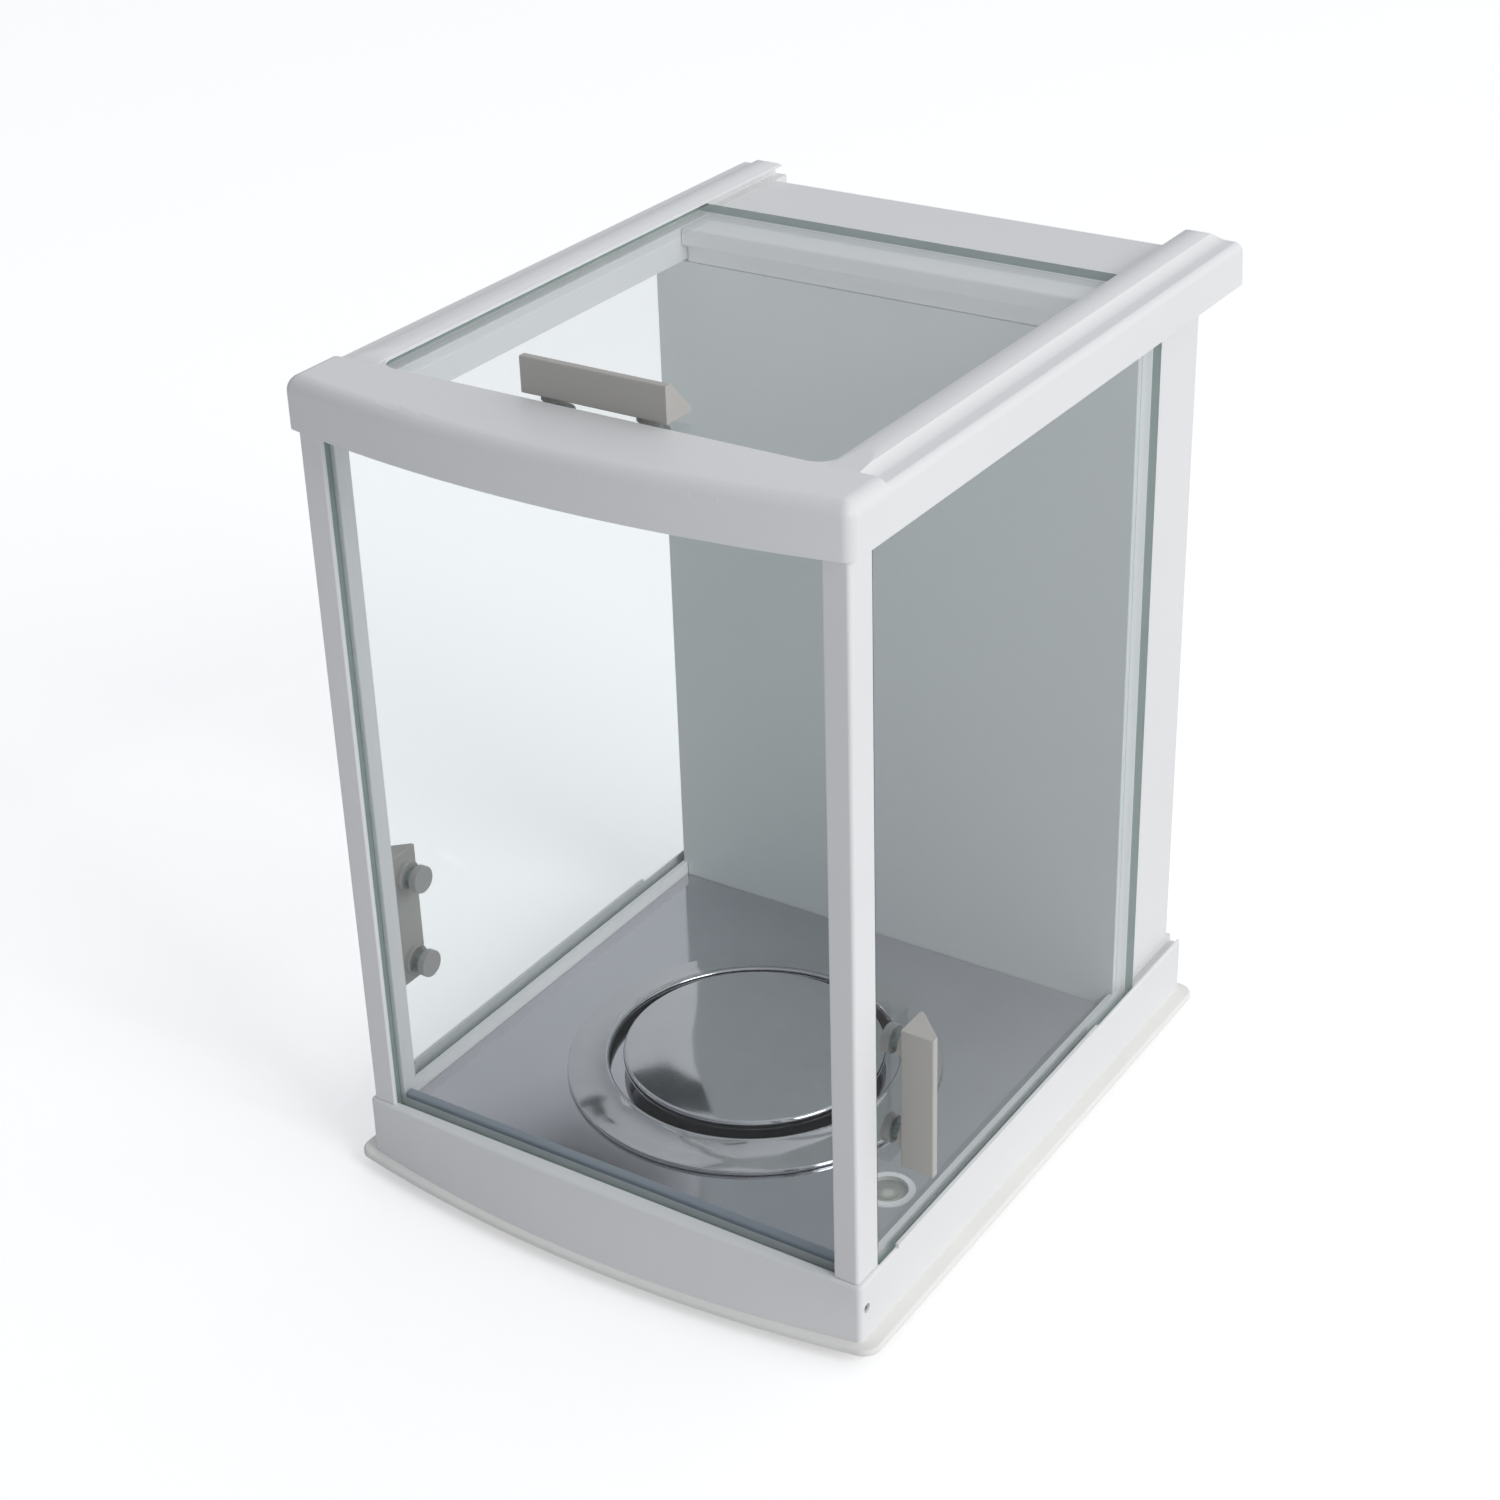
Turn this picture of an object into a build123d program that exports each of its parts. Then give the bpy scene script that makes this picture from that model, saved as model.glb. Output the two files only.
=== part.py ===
"""Analytical balance: a glass draft shield on a low plinth, with a rear tower that holds the weighing cell.

Axes: +X to the right, +Y to the rear, +Z up. The origin is on the table, at the centre of the
balance's box. Places along Y are measured from the centre of the weighing chamber.
"""

import os

from build123d import *

os.makedirs("parts", exist_ok=True)

# ---------------------------------------------------------------- driving dimensions (mm)
# Heights, from the table upwards
foot_gap = 5.0
base_thickness = 2.0
plinth_height = 21.0
floor_recess = 5.0
door_height = 242.0
bar_height = 16.4
rail_height = 17.7

# Plan, from the centre of the chamber
plinth_width = 192.0
plinth_front = 90.0
plinth_rear = 138.0
frame_overhang = 0.7
frame_front = 91.0
bow = 10.0
plinth_top_bow = 2.5
flange_side = 5.5
flange_front = 2.5
wall_front = 91.0
tower_rear = 136.0
cap_rear = 148.0
rail_rear = 154.5

# Chamber and its glass
well_wall = 6.8
well_front = 79.0
wall_thickness = 2.5
shell = 2.5
side_glass_thickness = 3.0
top_glass_thickness = 3.0
front_glass_thickness = 3.5
side_glass_inset = 1.6
side_glass_rear = 99.5
front_glass_face = 87.0
top_glass_lift = 12.2
top_glass_lap = 3.9
top_glass_rear = 105.0
top_glass_front = 76.0
groove_depth = 3.0
rail_groove_depth = 5.0

# Front posts, front bar and rails
post_width = 8.5
post_depth = 12.0
post_front = 89.0
post_inset = 2.2
glass_bite = 2.0
bar_rear = 71.0
rail_width = 19.1
top_opening_corner = 7.0
crossbar_front = 87.5
crossbar_lip = 3.4

# Handles
handle_length = 50.0
handle_depth = 12.0
handle_height = 11.2
handle_flat = 2.5
handle_foot_radius = 5.0
handle_foot_height = 2.0
handle_foot_spacing = 33.0
handle_stud_radius = 2.0
handle_nut_radius = 4.7
handle_nut_height = 3.0
stud_short = 0.4
top_handle_front = 70.0
side_handle_front = 66.5
side_handle_middle = 56.0

# Pan, draft ring and level
pan_radius = 45.0
pan_rise = 7.0
pan_sheet = 1.2
pan_rim = 3.0
ring_outer = 64.5
ring_inner = 50.0
ring_sheet = 0.9
ring_edge = 1.5
ring_crest = 4.4
ring_dish_rise = 1.2
ring_edge_chamfer = 0.6
ring_lip_chamfer = 0.4
ring_slope_foot = 5.0
ring_slope_top = 1.7
floor_sheet = 2.0
vial_radius = 8.0
vial_inset = 13.9
vial_y = -38.4
vial_flange = 1.0
vial_depth = 6.0
vial_wall = 1.3

# Feet
foot_inset = 16.0
front_foot_y = -74.0
rear_foot_y = 118.0
foot_wheel_radius = 15.0
foot_wheel_height = 2.8
foot_pad_radius = 11.0
foot_pad_height = 1.5
foot_stud_radius = 4.0
foot_pin_radius = 2.5
foot_bush_radius = 7.0
foot_bush_height = 10.0

# Weighing cell
arm_width = 16.0
arm_height = 8.0
arm_lift = 2.5
cone_radius = 3.5
hanger_front = 98.5
hanger_thickness = 5.5
hanger_height = 84.0
lever_height = 62.0
lever_section = 7.0
lever_thickness = 6.0
short_arm = 12.0
coil_reach = 55.0
pivot_radius = 2.0
coil_inner = 7.5
coil_wall = 3.0
coil_length = 17.0
pot_radius = 14.0
pot_height = 28.0

# Electronics on the back panel
board_width = 130.0
board_height = 110.0
board_thickness = 1.6
board_stand_off = 8.0
board_lift = 96.0
socket_lift = 16.0
dc_x = 48.0
dc_radius = 5.5
dc_bore = 3.2
dc_pin = 1.0
dc_bottom = 2.0
data_x = 14.0
data_width = 14.0
data_height = 12.0
data_side_wall = 1.2
data_end_wall = 1.5
data_mouth_depth = 8.0

# Clearances
running = 0.05
moving_gap = 0.4
seat_gap = 0.3
slip = 0.2

# ---------------------------------------------------------------- places worked out from them
chamber_y = (plinth_front + bow + flange_front - rail_rear) / 2
z_base = foot_gap
z_plinth = z_base + base_thickness
z_ledge = z_plinth + plinth_height
z_floor = z_ledge - floor_recess
z_shelf = z_floor - floor_sheet
z_frame = z_ledge + door_height
z_bar_top = z_frame + bar_height
z_top_glass = z_frame + top_glass_lift
z_crossbar_top = z_top_glass - moving_gap - slip
shelf_thickness = 2.5
z_cavity = z_shelf - shelf_thickness

plinth_half = plinth_width / 2
well_half = plinth_half - well_wall
frame_half = plinth_half + frame_overhang
foot_x = plinth_half - foot_inset
vial_x = well_half - vial_inset
glass_x = plinth_half - side_glass_inset
groove_inner = glass_x - side_glass_thickness - moving_gap
groove_outer = glass_x + moving_gap
tower_x = groove_inner
post_outer = frame_half - post_inset
post_inner = post_outer - post_width
post_rear = post_front - post_depth
wall_rear = wall_front + wall_thickness
tower_front = wall_rear + slip
front_glass_back = front_glass_face - front_glass_thickness
z_pan = z_floor + pan_rise
z_arm = z_plinth + arm_lift


def level(z):
    """The plan at height z, with its origin at the chamber's centre."""
    return Plane((0, chamber_y, z))


def across(y):
    """The upright plane facing the front at y, so extruding by a negative length goes rearwards."""
    return Plane.XZ.offset(-(chamber_y + y))


def save(part, name):
    part.label = name
    export_step(part, f"parts/{name}.step")


def bowed_outline(z, width, front, rear, depth, front_corner=0.0, rear_corner=0.0):
    """A rectangle at height z whose front edge bulges forward by depth at the middle."""
    half = width / 2
    with BuildSketch(level(z)) as outline:
        with BuildLine():
            ThreePointArc((-half, -front), (0, -front - depth), (half, -front))
            Line((half, -front), (half, rear))
            Line((half, rear), (-half, rear))
            Line((-half, rear), (-half, -front))
        make_face()
        if front_corner:
            fillet(outline.vertices().group_by(Axis.Y)[0], front_corner)
        if rear_corner:
            fillet(outline.vertices().group_by(Axis.Y)[-1], rear_corner)
    return outline.sketch


# ---------------------------------------------------------------- base, feet and plinth
foot_places = [(-foot_x, front_foot_y), (foot_x, front_foot_y)]
rear_foot_places = [(-foot_x, rear_foot_y), (foot_x, rear_foot_y)]
base_screw_radius = 1.75
base_screw_head = 3.5
base_screw_x = 60.0
boss_radius = 4.0
skirt = 4.0
boss_overlap = 0.5
base_screw_front = plinth_front - skirt - boss_radius - boss_overlap
base_screw_rear = plinth_rear - skirt - boss_overlap
base_screw_side = plinth_half - skirt - boss_radius + boss_overlap
base_screw_middle = 20.0
base_screw_grip = 6.0
base_screw_head_height = 1.8
base_rear_overhang = 1.5
base_corner = 6.0
base_edge_round = 1.0
base_screw_places = [
    (-base_screw_x, -base_screw_front),
    (base_screw_x, -base_screw_front),
    (-base_screw_side, base_screw_middle),
    (base_screw_side, base_screw_middle),
    (-base_screw_x, base_screw_rear),
    (base_screw_x, base_screw_rear),
]

with BuildPart() as base_plate:
    flange_width = plinth_width + 2 * flange_side
    flange_reach = plinth_front + flange_front
    flange_rear = plinth_rear + base_rear_overhang
    extrude(
        bowed_outline(z_base, flange_width, flange_reach, flange_rear, bow, base_corner, base_corner),
        amount=base_thickness,
    )
    fillet(base_plate.faces().sort_by(Axis.Z)[-1].edges(), base_edge_round)
    with BuildSketch(level(z_base)):
        with Locations(*foot_places):
            Circle(foot_bush_radius)
    extrude(amount=base_thickness, mode=Mode.SUBTRACT)
    with BuildSketch(level(z_base)):
        with Locations(*base_screw_places):
            Circle(base_screw_radius + slip)
    extrude(amount=base_thickness, mode=Mode.SUBTRACT)
save(base_plate.part, "base_plate")

with BuildPart() as foot_bushes:
    with BuildSketch(level(z_base)):
        with Locations(*foot_places):
            Circle(foot_bush_radius)
            Circle(foot_stud_radius + running, mode=Mode.SUBTRACT)
    extrude(amount=foot_bush_height)
save(foot_bushes.part, "foot_bushes")

z_wheel = foot_pad_height + seat_gap
pin_depth = 1.1
knurl_count = 24
knurl_radius = 1.2
knurl_offset = 0.6
stud_below_bush = 1.0
pad_chamfer = 0.4
rear_foot_chamfer = 0.8


def make_foot_wheel(place, name):
    """Knurled wheel with its threaded stud above and a short pin below that turns in the pad."""
    with BuildPart() as wheel:
        with BuildSketch(level(z_wheel)):
            with Locations(place):
                Circle(foot_wheel_radius)
                with PolarLocations(foot_wheel_radius + knurl_offset, knurl_count):
                    Circle(knurl_radius, mode=Mode.SUBTRACT)
        extrude(amount=foot_wheel_height)
        with BuildSketch(level(z_wheel + foot_wheel_height)):
            with Locations(place):
                Circle(foot_stud_radius)
        extrude(amount=z_base + foot_bush_height - z_wheel - foot_wheel_height - stud_below_bush)
        with BuildSketch(level(z_wheel)):
            with Locations(place):
                Circle(foot_pin_radius)
        extrude(amount=-pin_depth)
    save(wheel.part, name)


def make_foot_pad(place, name):
    """Rubber pad that stays put on the table while the wheel turns in it."""
    with BuildPart() as pad:
        with BuildSketch(level(0)):
            with Locations(place):
                Circle(foot_pad_radius)
        extrude(amount=foot_pad_height)
        chamfer(pad.edges().group_by(Axis.Z)[-1], pad_chamfer)
        with BuildSketch(level(z_wheel - pin_depth - seat_gap)):
            with Locations(place):
                Circle(foot_pin_radius + running)
        extrude(amount=foot_pad_height, mode=Mode.SUBTRACT)
    save(pad.part, name)


for side, place in zip(("left", "right"), foot_places):
    make_foot_wheel(place, f"{side}_foot_wheel")
    make_foot_pad(place, f"{side}_foot_pad")

with BuildPart() as rear_feet:
    with BuildSketch(level(0)):
        with Locations(*rear_foot_places):
            Circle(foot_pad_radius)
    extrude(amount=z_base)
    chamfer(rear_feet.edges().group_by(Axis.Z)[0], rear_foot_chamfer)
save(rear_feet.part, "rear_feet")

shelf = 3.0
rib_front = 67.0
rib_rear = 70.0
rib_height = 1.4
rib_width = plinth_half - groove_outer
ledge_round = 1.0
rear_opening_x = tower_x - shell - 1.0
rear_opening_front = 97.0
rear_opening_rear = 131.0
opening_under_wall = 1.0
groove_overrun = 0.5
plinth_front_corner = 2.0
plinth_rear_corner = 4.0
plinth_screw_radius = 1.4
plinth_screw_depth = 1.5
plinth_screw_length = 1.1
plinth_screw_back = 3.6
plinth_screw_y = -plinth_front + plinth_screw_back
plinth_screw_z = z_plinth + 11.4
screw_hole_depth = 7.0


def seen_from_side(x):
    """The upright plane that faces the right at x, with Y to the rear and Z up."""
    return Plane.YZ.offset(x)


with BuildPart() as plinth:
    corners = (plinth_front_corner, plinth_rear_corner)
    plinth_foot = bowed_outline(z_plinth, plinth_width, plinth_front, plinth_rear, bow, *corners)
    plinth_top = bowed_outline(z_ledge, plinth_width, plinth_front, plinth_rear, plinth_top_bow, *corners)
    loft([plinth_foot, plinth_top])
    fillet(plinth.faces().sort_by(Axis.Z)[-1].edges(), ledge_round)
    with BuildSketch(level(z_shelf)):
        with Locations((0, (wall_rear + slip - well_front) / 2)):
            Rectangle(2 * well_half, wall_rear + slip + well_front)
    extrude(amount=z_ledge - z_shelf, mode=Mode.SUBTRACT)
    with BuildSketch(level(z_plinth)):
        with Locations((0, (wall_front - opening_under_wall - well_front + shelf) / 2)):
            Rectangle(2 * (well_half - shelf), wall_front - opening_under_wall + well_front - shelf)
    extrude(amount=z_shelf - z_plinth, mode=Mode.SUBTRACT)
    with BuildSketch(level(z_plinth)):
        with Locations((0, (plinth_rear - skirt - plinth_front + skirt) / 2)):
            Rectangle(plinth_width - 2 * skirt, plinth_rear + plinth_front - 2 * skirt)
    extrude(amount=z_cavity - z_plinth, mode=Mode.SUBTRACT)
    with BuildSketch(level(z_plinth)):
        with Locations(*base_screw_places):
            Circle(boss_radius)
    extrude(amount=z_cavity - z_plinth)
    with BuildSketch(level(z_cavity)):
        with Locations((0, (rear_opening_front + rear_opening_rear) / 2)):
            Rectangle(2 * rear_opening_x, rear_opening_rear - rear_opening_front)
    extrude(amount=z_ledge - z_cavity, mode=Mode.SUBTRACT)
    with BuildSketch(level(z_ledge - groove_depth)):
        for side in (-1, 1):
            groove_middle = (plinth_rear + groove_overrun - post_rear) / 2
            with Locations((side * (groove_inner + groove_outer) / 2, groove_middle)):
                Rectangle(groove_outer - groove_inner, plinth_rear + groove_overrun + post_rear)
    extrude(amount=groove_depth, mode=Mode.SUBTRACT)
    with BuildSketch(level(z_ledge - groove_depth - slip)):
        with Locations((0, -front_glass_face + front_glass_thickness / 2)):
            Rectangle(2 * (post_inner + glass_bite + slip), front_glass_thickness + 2 * slip)
    extrude(amount=groove_depth + slip, mode=Mode.SUBTRACT)
    with BuildSketch(level(z_ledge - ledge_round)):
        for side in (-1, 1):
            with Locations((side * (groove_outer + rib_width / 2), (rib_rear - rib_front) / 2)):
                Rectangle(rib_width, rib_rear + rib_front)
    extrude(amount=ledge_round + rib_height)
    for side in (-1, 1):
        with BuildSketch(seen_from_side(side * (plinth_half - plinth_screw_depth))):
            with Locations((chamber_y + plinth_screw_y, plinth_screw_z)):
                Circle(plinth_screw_radius + slip)
        extrude(amount=side * 2 * plinth_screw_depth, mode=Mode.SUBTRACT)
    with BuildSketch(level(z_plinth)):
        with Locations(*base_screw_places):
            Circle(base_screw_radius)
    extrude(amount=screw_hole_depth, mode=Mode.SUBTRACT)
save(plinth.part, "plinth")

with BuildPart() as plinth_screws:
    for side in (-1, 1):
        with BuildSketch(seen_from_side(side * (plinth_half - plinth_screw_depth))):
            with Locations((chamber_y + plinth_screw_y, plinth_screw_z)):
                Circle(plinth_screw_radius)
        extrude(amount=side * plinth_screw_length)
save(plinth_screws.part, "plinth_screws")

with BuildPart() as base_screws:
    with BuildSketch(level(z_base)):
        with Locations(*base_screw_places):
            Circle(base_screw_radius)
    extrude(amount=base_thickness + base_screw_grip)
    with BuildSketch(level(z_base)):
        with Locations(*base_screw_places):
            Circle(base_screw_head)
    extrude(amount=-base_screw_head_height)
save(base_screws.part, "base_screws")

# ---------------------------------------------------------------- chamber floor and level
pan_hole_radius = 9.0
floor_edge_round = 0.5
vial_flange_height = 0.6
vial_bottom = 1.2
vial_chamfer = 0.3
lens_drop = 1.0
lens_height = 1.5
lens_edge_round = 0.5

with BuildPart() as chamber_floor:
    with BuildSketch(level(z_shelf)):
        with Locations((0, (wall_front - slip - well_front + slip) / 2)):
            Rectangle(2 * (well_half - slip), wall_front + well_front - 2 * slip)
        Circle(pan_hole_radius, mode=Mode.SUBTRACT)
        with Locations((vial_x, vial_y)):
            Circle(vial_radius + slip, mode=Mode.SUBTRACT)
    extrude(amount=floor_sheet)
    fillet(chamber_floor.faces().sort_by(Axis.Z)[-1].outer_wire().edges(), floor_edge_round)
save(chamber_floor.part, "chamber_floor")

with BuildPart() as level_vial_cup:
    with BuildSketch(level(z_floor)):
        with Locations((vial_x, vial_y)):
            Circle(vial_radius + vial_flange)
    extrude(amount=vial_flange_height)
    with BuildSketch(level(z_floor)):
        with Locations((vial_x, vial_y)):
            Circle(vial_radius)
    extrude(amount=-vial_depth)
    with BuildSketch(level(z_floor - vial_depth + vial_bottom)):
        with Locations((vial_x, vial_y)):
            Circle(vial_radius - vial_wall)
    extrude(amount=vial_depth, mode=Mode.SUBTRACT)
    chamfer(level_vial_cup.edges().group_by(Axis.Z)[-1].sort_by(SortBy.LENGTH)[-1], vial_chamfer)
save(level_vial_cup.part, "level_vial_cup")

with BuildPart() as level_vial_lens:
    with BuildSketch(level(z_floor - lens_drop)):
        with Locations((vial_x, vial_y)):
            Circle(vial_radius - vial_wall)
    extrude(amount=lens_height)
    fillet(level_vial_lens.edges().group_by(Axis.Z)[-1], lens_edge_round)
save(level_vial_lens.part, "level_vial_lens")

# ---------------------------------------------------------------- draft ring and pan
z_ring = z_floor + seat_gap
z_ring_dish = z_ring + ring_edge + ring_dish_rise
z_ring_top = z_ring + ring_crest

with BuildPart() as draft_ring:
    with BuildSketch(Plane.XZ.offset(-chamber_y)):
        with BuildLine():
            Polyline(
                (ring_outer, z_ring),
                (ring_outer, z_ring + ring_edge - ring_edge_chamfer),
                (ring_outer - ring_edge_chamfer, z_ring + ring_edge),
                (ring_inner + ring_slope_foot, z_ring_dish),
                (ring_inner + ring_slope_top, z_ring_top - 0.2),
                (ring_inner + ring_sheet, z_ring_top),
                (ring_inner, z_ring_top - ring_lip_chamfer),
                (ring_inner, z_ring_dish),
                (ring_inner + ring_sheet, z_ring_dish),
                (ring_inner + ring_sheet, z_ring_top - ring_sheet),
                (ring_inner + ring_slope_foot - 0.4, z_ring_dish - ring_sheet),
                (ring_outer - ring_sheet, z_ring + ring_edge - ring_sheet),
                (ring_outer - ring_sheet, z_ring),
                close=True,
            )
        make_face()
    revolve(axis=Axis((0, chamber_y, 0), (0, 0, 1)))
save(draft_ring.part, "draft_ring")

hub_radius = 7.0
pan_edge_round = 1.2
hub_above_floor = 1.4
pan_underside = pan_sheet + 0.4
cone_below_sheet = 1.0
cone_chamfer = 0.8
z_hub = z_pan - pan_rise + hub_above_floor
cone_foot_radius = 6.0
z_cone_foot = z_hub - seat_gap
z_cone_top = z_pan - pan_sheet - cone_below_sheet

with BuildPart() as weighing_pan:
    with BuildSketch(Plane.XZ.offset(-chamber_y)):
        with BuildLine():
            Line((0, z_pan), (pan_radius - pan_edge_round, z_pan))
            RadiusArc(
                (pan_radius - pan_edge_round, z_pan), (pan_radius, z_pan - pan_edge_round), pan_edge_round
            )
            Polyline(
                (pan_radius, z_pan - pan_edge_round),
                (pan_radius, z_pan - pan_rim),
                (pan_radius - pan_sheet, z_pan - pan_rim),
                (pan_radius - pan_sheet, z_pan - pan_underside),
                (hub_radius, z_pan - pan_underside),
                (hub_radius, z_hub),
                (cone_radius + running, z_hub),
                (cone_radius + running, z_cone_top + seat_gap),
                (0, z_cone_top + seat_gap),
                (0, z_pan),
            )
        make_face()
    revolve(axis=Axis((0, chamber_y, 0), (0, 0, 1)))
save(weighing_pan.part, "weighing_pan")

with BuildPart() as pan_cone:
    with BuildSketch(level(z_arm + arm_height)):
        Circle(cone_foot_radius)
    extrude(amount=z_cone_foot - z_arm - arm_height)
    with BuildSketch(level(z_cone_foot)):
        Circle(cone_radius)
    extrude(amount=z_cone_top - z_cone_foot)
    chamfer(pan_cone.edges().group_by(Axis.Z)[-1], cone_chamfer)
save(pan_cone.part, "pan_cone")

# ---------------------------------------------------------------- weighing cell
hanger_rear = hanger_front + hanger_thickness
z_hanger_top = z_arm + hanger_height
hanger_half = 9.0
arm_end_round = 6.0
arm_pocket_floor = 2.5
arm_pocket_width = 10.0
arm_pocket_length = hanger_front - 34.0
arm_pocket_y = hanger_front / 2 + 8.0
z_lever = z_plinth + lever_height
lever_front = hanger_rear + 4.0
lever_middle = lever_front + lever_thickness / 2
lever_rear = lever_front + lever_thickness
lever_left = -6.0
lever_right = 68.0
lever_holes = (12.0, 22.0)
lever_hole_radius = 2.2
stub_height = 4.0
stub_width = 10.0
strip_width = 6.0
strip_thickness = 0.6
z_stub = z_lever + lever_section + 7.0
frame_foot_front = hanger_rear + 2.0
frame_plate_front = lever_rear + 5.0
frame_plate = 7.0
frame_plate_rear = frame_plate_front + frame_plate
frame_foot_height = 6.0
frame_left = -24.0
frame_right = 78.0
frame_plate_right = 36.0
z_frame_top = z_plinth + 92.0

with BuildPart() as weigh_arm:
    with BuildSketch(level(z_arm)) as plan:
        with Locations((0, (hanger_front - arm_width / 2) / 2)):
            Rectangle(arm_width, hanger_front + arm_width / 2)
        fillet(plan.vertices().group_by(Axis.Y)[0], arm_end_round)
    extrude(amount=arm_height)
    with BuildSketch(level(z_arm + arm_height)):
        with Locations((0, arm_pocket_y)):
            SlotOverall(arm_pocket_length, arm_pocket_width, rotation=90)
    extrude(amount=-(arm_height - arm_pocket_floor), mode=Mode.SUBTRACT)
save(weigh_arm.part, "weigh_arm")

with BuildPart() as hanger:
    with BuildSketch(level(z_arm)):
        with Locations((0, (hanger_front + hanger_rear) / 2)):
            Rectangle(2 * hanger_half, hanger_thickness)
    extrude(amount=hanger_height)
    with BuildSketch(level(z_stub)):
        with Locations((0, (hanger_rear + lever_rear) / 2)):
            Rectangle(stub_width, lever_rear - hanger_rear)
    extrude(amount=stub_height)
save(hanger.part, "hanger")

with BuildPart() as link_strip:
    with BuildSketch(level(z_lever + lever_section + seat_gap)):
        with Locations((0, lever_middle)):
            Rectangle(strip_width, strip_thickness)
    extrude(amount=z_stub - z_lever - lever_section - seat_gap)
save(link_strip.part, "link_strip")

vane_length = 6.0
vane_thickness = 0.6
vane_height = lever_section - 2.0
z_pivot = z_lever + lever_section / 2
pin_front = lever_front - 1.0
pin_seat = 4.0

with BuildPart() as lever:
    with BuildSketch(across(lever_front)):
        with Locations(((lever_left + lever_right) / 2, z_pivot)):
            Rectangle(lever_right - lever_left, lever_section)
        with Locations((short_arm, z_pivot)):
            Circle(pivot_radius + running, mode=Mode.SUBTRACT)
        with Locations([(short_arm + reach, z_pivot) for reach in lever_holes]):
            Circle(lever_hole_radius, mode=Mode.SUBTRACT)
    extrude(amount=-lever_thickness)
    with BuildSketch(across(lever_middle - vane_thickness / 2)):
        with Locations((lever_right + vane_length / 2, z_pivot)):
            Rectangle(vane_length, vane_height)
    extrude(amount=-vane_thickness)
save(lever.part, "lever")

with BuildPart() as pivot_pin:
    with BuildSketch(across(pin_front)):
        with Locations((short_arm, z_pivot)):
            Circle(pivot_radius)
    extrude(amount=-(frame_plate_front + pin_seat - pin_front))
save(pivot_pin.part, "pivot_pin")

coil_outer = coil_inner + coil_wall
coil_gap = 1.5
coil_drop = 3.0
pot_gap_inner = coil_inner - coil_gap
pot_gap_outer = coil_outer + coil_gap
z_coil = z_lever - coil_length - coil_drop
z_pot_top = z_lever - 6.0
z_pot = z_pot_top - pot_height

with BuildPart() as coil:
    with BuildSketch(level(z_coil)):
        with Locations((coil_reach, lever_middle)):
            Circle(coil_outer)
            Circle(coil_inner, mode=Mode.SUBTRACT)
    extrude(amount=coil_length)
    with BuildSketch(level(z_coil + coil_length)):
        with Locations((coil_reach, lever_middle)):
            Circle(coil_outer)
    extrude(amount=z_lever - z_coil - coil_length)
save(coil.part, "coil")

with BuildPart() as magnet_pot:
    with BuildSketch(level(z_pot)):
        with Locations((coil_reach, lever_middle)):
            Circle(pot_radius)
    extrude(amount=pot_height)
    with BuildSketch(level(z_coil - coil_drop)):
        with Locations((coil_reach, lever_middle)):
            Circle(pot_gap_outer)
            Circle(pot_gap_inner, mode=Mode.SUBTRACT)
    extrude(amount=z_pot_top - z_coil + coil_drop, mode=Mode.SUBTRACT)
save(magnet_pot.part, "magnet_pot")

z_frame_foot = z_plinth + frame_foot_height
bracket_width = 26.0
window_width = 28.0
window_height = 22.0
window_corner = 4.0
window_lift = 32.0

with BuildPart() as magnet_bracket:
    with BuildSketch(level(z_frame_foot)):
        with Locations((coil_reach, lever_middle)):
            Rectangle(bracket_width, 2 * (lever_middle - frame_foot_front))
    extrude(amount=z_pot - z_frame_foot)
save(magnet_bracket.part, "magnet_bracket")

with BuildPart() as cell_frame:
    with BuildSketch(level(z_plinth)):
        with Locations(((frame_left + frame_right) / 2, (frame_foot_front + frame_plate_rear) / 2)):
            Rectangle(frame_right - frame_left, frame_plate_rear - frame_foot_front)
    extrude(amount=frame_foot_height)
    with BuildSketch(level(z_frame_foot)):
        with Locations(((frame_left + frame_plate_right) / 2, frame_plate_front + frame_plate / 2)):
            Rectangle(frame_plate_right - frame_left, frame_plate)
    extrude(amount=z_frame_top - z_frame_foot)
    with BuildSketch(across(frame_plate_front)):
        with Locations((short_arm, z_pivot)):
            Circle(pivot_radius)
    extrude(amount=-pin_seat, mode=Mode.SUBTRACT)
    with BuildSketch(across(frame_plate_front)):
        with Locations((0, z_plinth + window_lift)):
            RectangleRounded(window_width, window_height, window_corner)
    extrude(amount=-frame_plate, mode=Mode.SUBTRACT)
save(cell_frame.part, "cell_frame")

guide_half = 20.0
guide_thickness = 0.8
guide_inset = 4.0


def make_guide(z, name):
    """Thin leaf that keeps the hanger upright: wide at the frame, narrow at the hanger."""
    with BuildPart() as guide:
        with BuildSketch(level(z)):
            with BuildLine():
                Polyline(
                    (-hanger_half, hanger_rear + seat_gap),
                    (hanger_half, hanger_rear + seat_gap),
                    (guide_half, frame_plate_front),
                    (-guide_half, frame_plate_front),
                    close=True,
                )
            make_face()
        extrude(amount=guide_thickness)
    save(guide.part, name)


make_guide(z_frame_top - guide_inset, "upper_guide")
make_guide(z_frame_foot + guide_inset, "lower_guide")

sensor_width = 5.0
sensor_depth = 10.0
sensor_slot = 2.4
sensor_back = 1.2
sensor_overlap = 2.0
sensor_above = 6.0
sensor_x = lever_right + vane_length - sensor_overlap

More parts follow.
